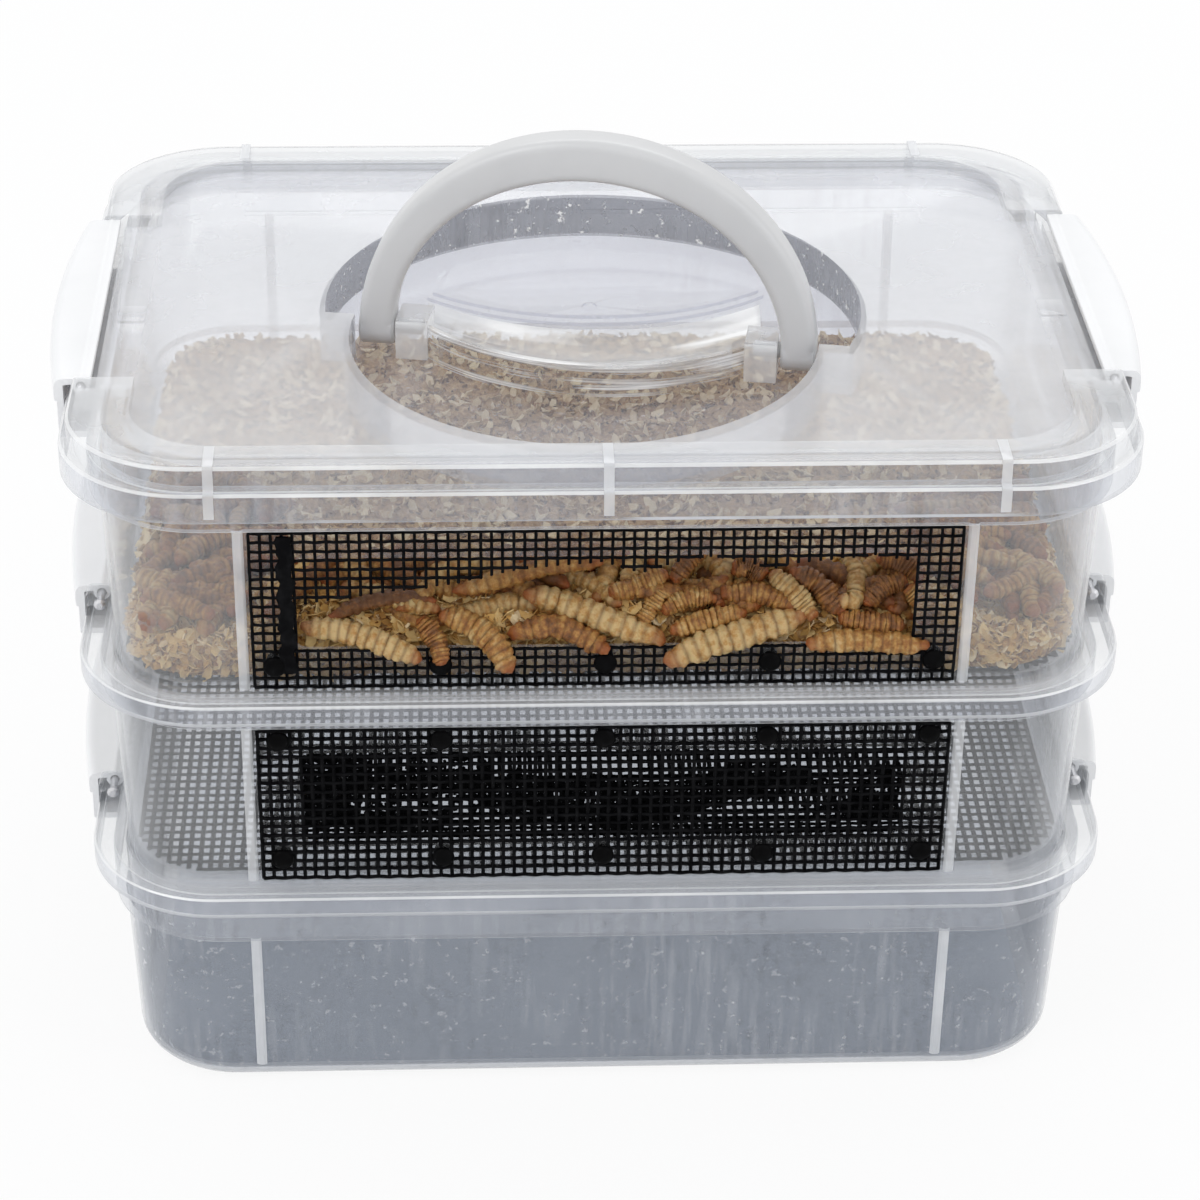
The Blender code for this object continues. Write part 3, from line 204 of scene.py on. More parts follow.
# painted shade: the recess side gets a dark grey body and tint; its streaks and flecks are marks of its own
recess_wall_painted_shade = clear_plastic(
    "recess_side", 0.36, (0.74, 0.75, 0.785), (0.40, 0.41, 0.445), 0.35, streaks=0.25, marks=0.6
)
bowl_plastic = clear_plastic("glassy_bowl", 0.12, (0.90, 0.905, 0.912), (0.99, 0.99, 0.992), 1.0, 0.05, bands=0.6)
# painted highlight: the bosses and the recess shoulder get a near-white finish
boss_painted_highlight = clear_plastic("whitened_boss", 0.48, (0.95, 0.952, 0.956), (0.97, 0.972, 0.976), 0.9, 0.06)
# painted shade: the base tray's wall gets a darker tint and body, for the shade under the stacked box
base_wall_painted_shade = clear_plastic(
    "base_tray_wall", 0.08, (0.742, 0.76, 0.79), (0.56, 0.58, 0.615), 1.2, streaks=0.24, marks=0.1
)
# painted highlight: the rounds at the base tray's foot get a paler finish
base_foot_painted_highlight = clear_plastic("base_tray_foot", 0.30, (0.88, 0.89, 0.905), (0.78, 0.79, 0.815))
print("clear finishes", len(bpy.data.materials))

# %% [markdown]
# The handle and the latches are opaque white mouldings with a soft satin skin, a faint orange-peel ripple and
# slightly darker rubbed patches. One Principled shader with noise on its roughness and bump does it.
# %% White moulding


def white_moulding(name, bright, dull):
    finish = Finish(name)
    colour = finish.ramp(finish.noise(26.0, 4.0), ((0.35, dull), (0.65, bright)))
    rough = finish.fit(finish.noise(90.0, 3.0), 0.3, 0.7, 0.30, 0.44)
    normal = finish.bump(finish.noise(700.0, 2.0), 0.00005, 0.6)
    shader = finish.add(
        "ShaderNodeBsdfPrincipled",
        {"Base Color": colour, "Roughness": rough, "Normal": normal, "Coat Weight": 0.25, "Coat Roughness": 0.2},
    )
    return finish.surface(shader.outputs[0])


# painted shade: the handle's white is set darker than the latches' white, for the shade on its front face; the pins
# in the handle share it
handle_white_painted_shade = white_moulding("white_moulding", (0.70, 0.70, 0.702), (0.65, 0.65, 0.655))
latch_plastic = white_moulding("white_latch", (0.93, 0.93, 0.935), (0.89, 0.893, 0.90))

# %% Black woven net, rivet and pin finishes


def dark_finish(name, colour, worn, roughness, ripple, depth, metallic=0.0, shine=0.04):
    finish = Finish(name)
    tone = finish.ramp(finish.noise(240.0, 4.0), ((0.4, colour), (0.75, worn)))
    rough = finish.fit(finish.noise(ripple, 2.0), 0.3, 0.7, roughness, min(1.0, roughness + 0.2))
    normal = finish.bump(finish.noise(ripple, 2.0), depth, 0.7)
    inputs = {"Base Color": tone, "Roughness": rough, "Normal": normal, "Metallic": metallic}
    inputs["Specular IOR Level"] = shine
    shader = finish.add("ShaderNodeBsdfPrincipled", inputs)
    return finish.surface(shader.outputs[0])


net_black = dark_finish("black_woven_net", (0.002, 0.002, 0.0025), (0.01, 0.01, 0.011), 0.5, 2600.0, 0.00006)
rivet_black = dark_finish("black_rivet", (0.001, 0.001, 0.0012), (0.003, 0.003, 0.0034), 0.3, 900.0, 0.00004)
pin_steel = dark_finish("steel_pin", (0.62, 0.62, 0.64), (0.7, 0.7, 0.72), 0.25, 800.0, 0.00002, 1.0, 0.5)
print("opaque finishes ready")

# %% [markdown]
# Bran is a mix of pale husk and darker hull, and larvae run from cream through gold to brown with darker rings,
# real joints widened with painted shade, and amber ends. Both read attributes that the geometry stores, so every
# flake and every larva has its own tone.
# %% Bran and larva finishes


def bran_finish(name, flake, stops):
    finish = Finish(name)
    speck = finish.noise(520.0, 4.0, roughness=0.7)
    if flake:
        tone = finish.add("ShaderNodeAttribute", attribute_name="tone").outputs["Fac"]
        speck = finish.sum("ADD", finish.sum("MULTIPLY", tone, 0.75), finish.sum("MULTIPLY", speck, 0.25))
    colour = finish.ramp(speck, stops)
    normal = finish.bump(finish.noise(1500.0, 3.0), 0.0004, 0.8)
    inputs = {"Base Color": colour, "Roughness": 0.85, "Specular IOR Level": 0.2, "Normal": normal}
    shader = finish.add("ShaderNodeBsdfPrincipled", inputs)
    return finish.surface(shader.outputs[0])


def larva_finish():
    finish = Finish("mealworm_skin")
    tone = finish.add("ShaderNodeAttribute", attribute_name="tone").outputs["Fac"]
    along = finish.add("ShaderNodeAttribute", attribute_name="along").outputs["Fac"]
    ring = finish.add("ShaderNodeAttribute", attribute_name="ring").outputs["Fac"]
    patches = finish.fit(finish.noise(360.0, 5.0, roughness=0.7), 0.34, 0.66, -0.42, 0.26)
    stops = (
        (0.0, (0.16, 0.065, 0.022)),
        (0.35, (0.33, 0.135, 0.032)),
        (0.65, (0.50, 0.265, 0.072)),
        (1.0, (0.64, 0.45, 0.205)),
    )
    skin = finish.ramp(finish.sum("ADD", tone, patches, True), stops)
    # painted shade: the rings darken over a wide band; the thin dark line at each joint is real, the broad band
    # around it is shade painted in
    dark = (0.10, 0.034, 0.008, 1.0)
    joint_and_painted_shade = finish.fit(ring, 0.1, 0.85, 0.62, 0.0)
    ringed = finish.add("ShaderNodeMix", {0: joint_and_painted_shade, 6: skin, 7: dark}, data_type="RGBA").outputs[2]
    ends = finish.sum("ABSOLUTE", finish.sum("SUBTRACT", along, 0.5), 0.0)
    head = finish.fit(ends, 0.36, 0.48, 0.0, 0.85)
    amber = (0.30, 0.075, 0.014, 1.0)
    colour = finish.add("ShaderNodeMix", {0: head, 6: ringed, 7: amber}, data_type="RGBA").outputs[2]
    normal = finish.bump(finish.noise(800.0, 5.0, roughness=0.7), 0.0009, 0.9)
    shader = finish.add(
        "ShaderNodeBsdfPrincipled",
        {
            "Base Color": colour,
            "Roughness": 0.42,
            "Normal": normal,
            "Specular IOR Level": 0.35,
            "Subsurface Weight": 0.12,
            "Subsurface Scale": 0.0015,
            "Coat Weight": 0.15,
            "Coat Roughness": 0.25,
        },
    )
    return finish.surface(shader.outputs[0])


BRAN_STOPS = (
    (0.10, (0.065, 0.024, 0.008)),
    (0.36, (0.29, 0.140, 0.054)),
    (0.58, (0.60, 0.390, 0.180)),
    (0.80, (0.93, 0.760, 0.480)),
)
CHAFF_STOPS = (
    (0.10, (0.13, 0.05, 0.014)),
    (0.38, (0.42, 0.21, 0.06)),
    (0.64, (0.64, 0.38, 0.12)),
    (0.90, (0.84, 0.62, 0.29)),
)
bran_plain = bran_finish("bran_bed", False, BRAN_STOPS)
bran_flake = bran_finish("bran_flake", True, BRAN_STOPS)
golden_chaff = bran_finish("golden_chaff", True, CHAFF_STOPS)
larva_skin = larva_finish()
print("finishes", len(bpy.data.materials))

# %% [markdown]
# The trays, lid, latches and handle are built again here with finer curves than the CAD solids have. The sizes
# are the same. Helpers come first: outlines, small rounds on a profile, lofts between rings, and Booleans.
# %% Outline and loft helpers
CORNER_STEPS = 18


def rounded_outline(half_x, half_y, radius, steps=CORNER_STEPS):
    points = []
    for quarter, (side_x, side_y) in enumerate(((1, 1), (-1, 1), (-1, -1), (1, -1))):
        for k in range(steps + 1):
            turn = math.pi / 2 * (quarter + k / steps)
            x = side_x * (half_x - radius) + radius * math.cos(turn)
            y = side_y * (half_y - radius) + radius * math.sin(turn)
            points.append((x, y))
    return points


def soften(points, radius, steps=3, closed=True):
    """Replaces the corners of a flat profile by small rounds. A point may carry its own radius as a third value."""
    made = []
    count = len(points)
    for i, point in enumerate(points):
        corner = Vector(point[:2])
        own = point[2] if len(point) > 2 else radius
        if own <= 0 or (not closed and i in (0, count - 1)):
            made.append(tuple(corner))
            continue
        back = Vector(points[i - 1][:2]) - corner
        ahead = Vector(points[(i + 1) % count][:2]) - corner
        reach = min(own, 0.45 * back.length, 0.45 * ahead.length)
        start = corner + back.normalized() * reach
        end = corner + ahead.normalized() * reach
        for k in range(steps + 1):
            t = k / steps
            made.append(tuple(start * (1 - t) ** 2 + corner * 2 * t * (1 - t) + end * t * t))
    return made


def add_object(name, bm):
    bmesh.ops.recalc_face_normals(bm, faces=bm.faces)
    mesh = bpy.data.meshes.new(name)
    bm.to_mesh(mesh)
    bm.free()
    made = bpy.data.objects.new(name, mesh)
    scene.collection.objects.link(made)
    return made


def loft(name, rings, closed_loop=False):
    bm = bmesh.new()
    rows = [[bm.verts.new(p) for p in ring] for ring in rings]
    pairs = list(zip(rows, rows[1:]))
    if closed_loop:
        pairs.append((rows[-1], rows[0]))
    for lower, upper in pairs:
        for i in range(len(lower)):
            j = (i + 1) % len(lower)
            bm.faces.new((lower[i], lower[j], upper[j], upper[i]))
    if not closed_loop:
        bm.faces.new(rows[0][::-1])
        bm.faces.new(rows[-1])
    return add_object(name, bm)


def prism(name, outline, low, high):
    return loft(name, [[(x, y, z) for x, y in outline] for z in (low, high)])


def side_block(name, side, near, far, half_y, low, high):
    a, b = sorted((side * near, side * far))
    return prism(name, [(a, -half_y), (b, -half_y), (b, half_y), (a, half_y)], low, high)


def rod(name, axis, profile, centre=(0.0, 0.0, 0.0), steps=24):
    """A round bar along X or Y. The profile lists radius and place along the axis."""
    rings = []
    for radius, along in profile:
        ring = []
        for k in range(steps):
            turn = math.tau * k / steps
            a = radius * math.cos(turn)
            b = radius * math.sin(turn)
            point = (along, centre[1] + a, centre[2] + b)
            ring.append(point if axis == "X" else (centre[0] + a, along, centre[2] + b))
        rings.append(ring)
    return loft(name, rings)


def place(obj, matrix):
    obj.data.transform(matrix)
    return obj


print("outline helpers ready")

# %% Boolean and finishing helpers


def combine(target, others, operation):
    """Applies one Boolean for each other object, then turns the result into a plain mesh."""
    for other in others:
        modifier = target.modifiers.new(operation.title(), "BOOLEAN")
        modifier.operation = operation
        modifier.object = other
        modifier.solver = "MANIFOLD"
    settle(target)
    for other in others:
        bpy.data.objects.remove(other, do_unlink=True)
    return target


def settle(target):
    graph = bpy.context.evaluated_depsgraph_get()
    graph.update()
    mesh = bpy.data.meshes.new_from_object(target.evaluated_get(graph))
    target.modifiers.clear()
    target.data = mesh
    return target


def cut(target, *others):
    return combine(target, others, "DIFFERENCE")


def fuse(target, *others):
    return combine(target, others, "UNION")


def round_edges(obj, width, angle=40.0, segments=2):
    modifier = obj.modifiers.new("Bevel", "BEVEL")
    modifier.width = width
    modifier.segments = segments
    modifier.limit_method = "ANGLE"
    modifier.angle_limit = math.radians(angle)
    modifier.use_clamp_overlap = True
    return settle(obj)


def finish_piece(obj, body, replaced, materials, angle=30.0):
    """Names the piece's finishes, shades it smooth, and hands it to its CAD body."""
    if materials:
        indices = [0] * len(obj.data.polygons)
        obj.data.materials.clear()
        for material in materials:
            obj.data.materials.append(material)
        obj.data.polygons.foreach_set("material_index", indices)
    obj.data.shade_smooth()
    obj.data.set_sharp_from_angle(angle=math.radians(angle))
    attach(obj, body)
    if replaced:
        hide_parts(*replaced)
    print(obj.name, "faces", len(obj.data.polygons))
    return obj


def paint_faces(obj, chooser):
    """Gives each face the finish whose number the chooser returns for its centre and normal."""
    for face in obj.data.polygons:
        face.material_index = chooser(face.center, face.normal)


def rolled(normal):
    """True on the small rounds between an upright wall and a level one, which get a painted white highlight."""
    return 0.3 < abs(normal.z) < 0.94


# %% [markdown]
# The floor of a product shot is a white sweep. It could be one bright plane; here the plane keeps part of its
# own shading, so a soft shadow stays under the box, and the rest is plain white for what the camera sees.
# %% Floor, world and lamps


def make_floor():
    finish = Finish("white_sweep")
    path = finish.add("ShaderNodeLightPath").outputs
    seen = finish.sum("MAXIMUM", path["Is Camera Ray"], path["Is Glossy Ray"])
    seen = finish.sum("MAXIMUM", seen, path["Is Transmission Ray"])
    paper = finish.ramp(finish.noise(3.0), ((0.3, (0.93, 0.93, 0.935)), (0.7, (0.95, 0.95, 0.955))))
    shaded = finish.add("ShaderNodeBsdfDiffuse", {"Color": paper})
    bright = finish.add("ShaderNodeEmission", {"Color": (1.0, 1.0, 1.0, 1.0), "Strength": 1.0})
    share = finish.sum("MULTIPLY", seen, 0.9)
    mixed = finish.add("ShaderNodeMixShader", {0: share, 1: shaded.outputs[0], 2: bright.outputs[0]})
    material = finish.surface(mixed.outputs[0])
    reach = 12.0
    outline = [(-reach, -reach), (reach, -reach), (reach, reach), (-reach, reach)]
    floor = prism("white_sweep", outline, -0.02, -0.0006)
    floor.data.materials.append(material)


def make_world():
    world = bpy.data.worlds.new("studio")
    scene.world = world
    world.use_nodes = True
    tree = world.node_tree
    tree.nodes.clear()
    path = tree.nodes.new("ShaderNodeLightPath")
    most = tree.nodes.new("ShaderNodeMath")
    most.operation = "MAXIMUM"
    also = tree.nodes.new("ShaderNodeMath")
    also.operation = "MAXIMUM"
    shown = tree.nodes.new("ShaderNodeBackground")
    shown.inputs["Color"].default_value = (1.0, 1.0, 1.0, 1.0)
    lit = tree.nodes.new("ShaderNodeBackground")
    lit.inputs["Color"].default_value = (0.97, 0.985, 1.0, 1.0)
    lit.inputs["Strength"].default_value = 0.74
    mix = tree.nodes.new("ShaderNodeMixShader")
    out = tree.nodes.new("ShaderNodeOutputWorld")
    join = tree.links.new
    join(path.outputs["Is Camera Ray"], most.inputs[0])
    join(path.outputs["Is Glossy Ray"], most.inputs[1])
    join(most.outputs[0], also.inputs[0])
    join(path.outputs["Is Transmission Ray"], also.inputs[1])
    join(also.outputs[0], mix.inputs[0])
    join(lit.outputs[0], mix.inputs[1])
    join(shown.outputs[0], mix.inputs[2])
    join(mix.outputs[0], out.inputs["Surface"])


def make_lamp(name, spot, target, size, power):
    data = bpy.data.lights.new(name, "AREA")
    data.shape = "RECTANGLE"
    data.size = size[0]
    data.size_y = size[1]
    data.energy = power
    lamp = bpy.data.objects.new(name, data)
    lamp.location = spot
    away = Vector(spot) - Vector(target)
    lamp.rotation_euler = away.to_track_quat("Z", "Y").to_euler()
    scene.collection.objects.link(lamp)


make_floor()
make_world()
BOX_MIDDLE = (0.0, 0.0, 0.13)
make_lamp("key_left", (-1.3, -1.0, 1.7), BOX_MIDDLE, (1.2, 1.2), 11.0)
make_lamp("fill_right", (1.5, -0.9, 1.1), BOX_MIDDLE, (0.9, 1.4), 5.0)
make_lamp("back_top", (0.2, 1.3, 1.5), BOX_MIDDLE, (1.6, 0.5), 6.0)
scene.view_settings.view_transform = "Standard"
scene.cycles.transparent_max_bounces = 64
print("stage ready")

# %% [markdown]
# Each tray has a leaning wall, a lip band under its rim and, on the two upper trays, a flange that covers the
# tray below. All of it follows one profile that is swept round the plan, so the profile is listed first.
# %% Sizes of the trays
SKIRT_X = 158.0 * MM
SKIRT_Y = 120.0 * MM
SKIRT_CORNER = 40.0 * MM
WALL = 1.8 * MM
FIRST_SKIRT_Z = 71.3 * MM
TIER_PITCH = 68.6 * MM
SKIRT_HEIGHT = 6.9 * MM
LID_SKIRT_HEIGHT = 9.2 * MM
GAP = 0.3 * MM
FOOT_INSET = 11.0 * MM
RIM_INSET = 8.4 * MM
LIP_INSET = 6.0 * MM
LEDGES = [FIRST_SKIRT_Z + SKIRT_HEIGHT + k * TIER_PITCH for k in range(2)]
LID_SKIRT_Z = FIRST_SKIRT_Z + 2 * TIER_PITCH
LID_LEDGE_Z = LID_SKIRT_Z + LID_SKIRT_HEIGHT
SEAT_DROP = WALL + GAP
STEP_LOW = 12.6 * MM
STEP_HIGH = 15.2 * MM


class Tray:
    def __init__(self, name, foot_z, rim_z, lip_height):
        self.name = name
        self.foot_z = foot_z
        self.rim_z = rim_z
        self.lip_z = rim_z - lip_height
        self.height = rim_z - foot_z
        self.lean = math.atan2(FOOT_INSET - RIM_INSET, self.height)
        self.net_height = self.height - lip_height - 1.0 * MM

    def wall_inset(self, z):
        return FOOT_INSET + (RIM_INSET - FOOT_INSET) * (z - self.foot_z) / self.height

    def upper_profile(self, low):
        soft = 1.0 * MM
        return [
            (self.wall_inset(low), low, 0.8 * MM),
            (self.wall_inset(self.lip_z), self.lip_z, 0.5 * MM),
            (LIP_INSET, self.lip_z, soft),
            (LIP_INSET, self.rim_z, soft),
            (RIM_INSET + WALL, self.rim_z, 0.8 * MM),
            (self.wall_inset(low + STEP_HIGH) + WALL, low + STEP_HIGH, 0.0),
            (self.wall_inset(low + STEP_LOW) + WALL, low + STEP_LOW, 0.0),
            (self.wall_inset(low) + WALL, low, 0.8 * MM),
        ]

    def front_wall(self, up, out):
        """Places a piece that is built in X and Z on the leaning front wall, this far out from its outside."""
        foot = Matrix.Translation((0, FOOT_INSET - SKIRT_Y, self.foot_z))
        return foot @ Matrix.Rotation(self.lean, 4, "X") @ Matrix.Translation((0, -out, up))


base = Tray("base", 0.0, LEDGES[0] - SEAT_DROP, 18.1 * MM)
middle = Tray("middle", LEDGES[0], LEDGES[1] - SEAT_DROP, 9.7 * MM)
upper = Tray("upper", LEDGES[1], LID_LEDGE_Z - SEAT_DROP, 13.6 * MM)
print("rims", [round(tray.rim_z / MM, 1) for tray in (base, middle, upper)])

# %% Ribs, grip pads and the base tray


def skirt_outline(inset, growth=0.0):
    return rounded_outline(SKIRT_X - inset, SKIRT_Y - inset, SKIRT_CORNER - inset + growth)


def wall_rib(tray, side, low, x):
    """A straight rib that leans with the front or back wall."""
    high = tray.rim_z - 4.8 * MM
    half = 1.6 * MM
    proud = 1.2 * MM
    rings = []
    for z in (low, high):
        wall_y = SKIRT_Y - tray.wall_inset(z)
        flat = [(x - half, wall_y - WALL / 2), (x + half, wall_y - WALL / 2)]
        flat += [(x + half, wall_y + proud / 2), (x + half / 2, wall_y + proud)]
        flat += [(x - half / 2, wall_y + proud), (x - half, wall_y + proud / 2)]
        rings.append([(px, side * py, z) for px, py in flat])
    return loft("rib", rings)


def side_pad(tray, side):
    """The shallow grip pad on a short side. It ends in a step part of the way down the wall."""
    proud = 2.2 * MM
    half = 60.0 * MM
    rings = []
    for z in (tray.foot_z + 27.0 * MM, tray.rim_z - 4.8 * MM):
        outer = SKIRT_X - tray.wall_inset(z) + proud
        inner = outer - proud - WALL / 2
        ring = [(inner, -half), (outer, 2 * proud - half), (outer, half - 2 * proud), (inner, half)]
        rings.append([(side * x, y, z) for x, y in ring])
    return loft("pad", rings)


RIB_X = 106.8 * MM


def ribs_and_pads(tray, low):
    made = [wall_rib(tray, side, low, x) for side in (-1, 1) for x in (-RIB_X, RIB_X)]
    return made + [side_pad(tray, side) for side in (-1, 1)]


def tray_finish(tray, low):
    """Chooses among a tray's finishes: wall 0, flange with painted light 1, edge with painted highlight 2, rib line
    with painted highlight 3, skirt with painted shade 4.
    """

    def choose(centre, normal):
        proud = abs(centre.y) - (SKIRT_Y - tray.wall_inset(centre.z))
        on_rib = abs(abs(centre.x) - RIB_X) < 1.7 * MM
        # rib faces take the painted highlight
        if on_rib and proud > 0.1 * MM and low < centre.z < tray.rim_z - 4.0 * MM:
            return 3
        if low <= centre.z <= tray.lip_z - 0.2 * MM:
            # painted highlight: a pale stripe on the inner face of the upper tray's wall step
            inner = tray is upper and normal.x * centre.x + normal.y * centre.y < 0
            return 3 if inner and centre.y > -60.0 * MM and STEP_LOW < centre.z - low < STEP_HIGH else 0
        # the rounds and the skirt's underside get the painted highlight
        skirt_edge = normal.z < -0.94 and centre.z < low - SKIRT_HEIGHT + 0.2 * MM
        if rolled(normal) or skirt_edge:
            return 2
        # upright faces take the painted shade, level faces the painted light
        return 4 if abs(normal.z) < 0.3 else 1

    return choose


def make_base_tray():
    edge = 8.0 * MM
    foot = base.wall_inset(edge)
    turns = [math.radians(15 * k) for k in range(1, 6)]
    profile = [(foot + edge, 0.0)]
    profile += [(foot + edge * (1 - math.sin(a)), edge * (1 - math.cos(a))) for a in turns]
    profile += soften(base.upper_profile(edge), 0.0, closed=False)
    inner = edge - WALL
    for a in reversed(turns):
        profile.append((foot + WALL + inner * (1 - math.sin(a)), WALL + inner * (1 - math.cos(a))))
    profile.append((foot + WALL + inner, WALL))
    rings = []
    for inset, z in profile:
        growth = 4.0 * MM * (1 - z / base.rim_z)
        rings.append([(x, y, z) for x, y in skirt_outline(inset, growth)])
    tray = loft("base_tray_clear", rings)
    fuse(tray, *ribs_and_pads(base, edge))
    finishes = [base_wall_painted_shade, level_faces_painted_light, edge_painted_highlight, rib_painted_highlight, upright_faces_painted_shade, base_foot_painted_highlight]
    finish_piece(tray, "base_tray", ["base_tray"], finishes)
    choose = tray_finish(base, 0.0)
    # the foot's rounds take the painted highlight
    paint_faces(tray, lambda centre, normal: 5 if centre.z < edge and rolled(normal) else choose(centre, normal))


make_base_tray()

# %% Middle and upper trays


def latch_ears(ledge_z):
    outer = SKIRT_X - 0.4 * MM
    inner = SKIRT_X - FOOT_INSET - WALL / 2
    top = ledge_z + 7.8 * MM
    outline = [
        (inner, ledge_z - WALL / 2, 0.0),
        (outer, ledge_z - WALL / 2, 0.0),
        (outer, top, 3.0 * MM),
        (inner, top, 0.0),
    ]
    outline = soften(outline, 0.0, 5)
    ears = []
    for side in (-1, 1):
        for end in (-1, 1):
            ys = (end * 59.0 * MM, end * 65.0 * MM)
            ears.append(loft("ear", [[(side * x, y, z) for x, z in outline] for y in ys]))
    return ears


def window_cutter(tray):
    half = 91.7 * MM
    low = 14.5 * MM - 1.25 * MM
    high = tray.net_height - 9.25 * MM
    cutter = prism("opening", rounded_outline(half, (high - low) / 2, 4.0 * MM, 8), -4.0 * MM, 2.0 * MM)
    stand = Matrix.Rotation(math.radians(90), 4, "X")
    return place(cutter, tray.front_wall((low + high) / 2, 0.0) @ stand)


def make_tier_tray(tray):
    ledge_z = tray.foot_z
    under = ledge_z - WALL
    skirt_z = ledge_z - SKIRT_HEIGHT
    frame_inset = FOOT_INSET + WALL + 9.2 * MM
    ring_inset = RIM_INSET + WALL + 0.6 * MM
    profile = [(0.0, skirt_z, 0.6 * MM), (0.0, ledge_z, 1.5 * MM)]
    profile += tray.upper_profile(ledge_z)
    profile += [
        (frame_inset, ledge_z, 0.5 * MM),
        (frame_inset, under, 0.5 * MM),
        (ring_inset + 1.6 * MM, under, 0.0),
        (ring_inset + 1.6 * MM, under - 3.2 * MM, 0.4 * MM),
        (ring_inset, under - 3.2 * MM, 0.4 * MM),
        (ring_inset, under, 0.0),
        (WALL, under, 0.6 * MM),
        (WALL, skirt_z, 0.4 * MM),
    ]
    rings = [[(x, y, z) for x, y in skirt_outline(inset)] for inset, z in soften(profile, 0.0)]
    made = loft(tray.name + "_tray_clear", rings, closed_loop=True)
    fuse(made, *ribs_and_pads(tray, ledge_z - WALL / 2), *latch_ears(ledge_z))
    cut(made, window_cutter(tray))
    body = tray.name + "_tray"
    finishes = [wall_plastic, level_faces_painted_light, edge_painted_highlight, rib_painted_highlight, upright_faces_painted_shade]
    finish_piece(made, body, [body], finishes)
    paint_faces(made, tray_finish(tray, ledge_z + 0.2 * MM))


make_tier_tray(middle)
make_tier_tray(upper)

# %% [markdown]
# The lid is the most worked piece: a raised rim round a sunk frosted panel, corner posts beside the latches,
# and a round recess with a glassy bowl for the fingers. It is cut from stacked outer forms, as a mould is.
# %% Sizes of the lid
LID_X = 160.0 * MM
UPPER_INSET = 2.5 * MM
LID_TOP_Z = LID_LEDGE_Z + 7.5 * MM
PANEL_Z = LID_TOP_Z - 4.0 * MM
RECESS_Z = PANEL_Z - 14.0 * MM
POCKET_X = LID_X - UPPER_INSET - 18.5 * MM
POCKET_Y = SKIRT_Y - UPPER_INSET - 13.5 * MM
NOTCH_HALF_Y = 59.0 * MM
LATCH_HINGE_X = LID_X - 5.0 * MM
NOTCH_X = LATCH_HINGE_X - 4.2 * MM
HANDLE_SHIFT = -13.0 * MM
SHOULDER_SHIFT = -19.5 * MM
FRONT_SHIFT = -22.0 * MM
DISH_CENTRE = (2.5 * MM, 37.0 * MM)
RECESS_TURN = math.radians(-9.5)
recess_frame = Matrix.Translation((0, -1.0 * MM, 0)) @ Matrix.Rotation(RECESS_TURN, 4, "Z")
handle_frame = recess_frame @ Matrix.Translation((0, HANDLE_SHIFT, PANEL_Z - 6.0 * MM))
print("lid top", round(LID_TOP_Z / MM, 1))


def lid_outline(inset):
    return rounded_outline(LID_X - inset, SKIRT_Y - inset, SKIRT_CORNER - inset)


def lid_stack(name, profile):
    return loft(name, [[(x, y, z) for x, y in lid_outline(inset)] for inset, z in profile])


def panel_outline(growth):
    return rounded_outline(POCKET_X + growth, POCKET_Y + growth, 26.0 * MM + growth)


def both_sides(name, near, half_y, low, high):
    return [side_block(name, side, near, LID_X + 2.0 * MM, half_y, low, high) for side in (-1, 1)]


# %% Outlines inside the recess
ARC_STEPS = 44


def recess_outline(growth):
    line = SHOULDER_SHIFT - growth
    rear = 84.0 * MM + growth
    start = math.asin(line / rear)
    points = []
    for k in range(ARC_STEPS + 1):
        turn = start + (math.pi - 2 * start) * k / ARC_STEPS
        points.append((rear * math.cos(turn), rear * math.sin(turn)))
    half = 72.4 * MM + growth
    reach = 75.0 * MM + growth
    start = math.asin((line - FRONT_SHIFT) / reach)
    for k in range(ARC_STEPS + 1):
        turn = math.pi - start + (math.pi + 2 * start) * k / ARC_STEPS
        points.append((half * math.cos(turn), FRONT_SHIFT + reach * math.sin(turn)))
    return points


def arc_points(half, sag, steps):
    radius = (half * half + sag * sag) / (2 * sag)
    reach = math.asin(half / radius)
    turns = [reach * (2 * k / steps - 1) for k in range(steps + 1)]
    return [(radius * math.sin(a), radius - sag - radius * math.cos(a)) for a in turns]


def lens_outline(growth):
    wide = 53.0 * MM + growth
    front = arc_points(wide, 18.5 * MM + growth, ARC_STEPS // 2)
    rear = [(x, -y) for x, y in arc_points(wide, 18.0 * MM + growth, ARC_STEPS // 2)]
    return [(DISH_CENTRE[0] + x, DISH_CENTRE[1] + y) for x, y in front[:-1] + rear[:0:-1]]


def bowl_wall(name, shrink, first, low):
    """The concave wall from the dish up to the smile-shaped edge. With a shrink it is the hollow under it."""
    stations = 40
    steps = 10
    dish = arc_points(53.0 * MM, 18.5 * MM, stations)
    smile = arc_points(55.0 * MM, 25.0 * MM, stations)
    rise_all = 10.5 * MM
    rings = []
    for station in range(first, stations + 1 - first):
        foot = Vector((DISH_CENTRE[0] + dish[station][0], DISH_CENTRE[1] + dish[station][1], 0))
        edge = recess_frame @ Vector((smile[station][0], HANDLE_SHIFT + smile[station][1], 0))
        away = (edge - foot).normalized()
        edge = edge - away * shrink
        back = edge - away * 2.2 * MM
        begin = 2 if shrink else 0
        start = foot.lerp(back, begin / steps)
        ring = [(start.x, start.y, low)]
        for k in range(begin, steps + 1):
            share = k / steps
            spot = foot.lerp(back, share)
            rise = rise_all * (1 - math.sqrt(1 - share * share))
            ring.append((spot.x, spot.y, RECESS_Z + rise - shrink))
        ring.append((edge.x, edge.y, RECESS_Z + rise_all - shrink))
        ring.append((edge.x, edge.y, low))
        rings.append(ring)
    return loft(name, rings)


# %% Lid shell, ribs and recess


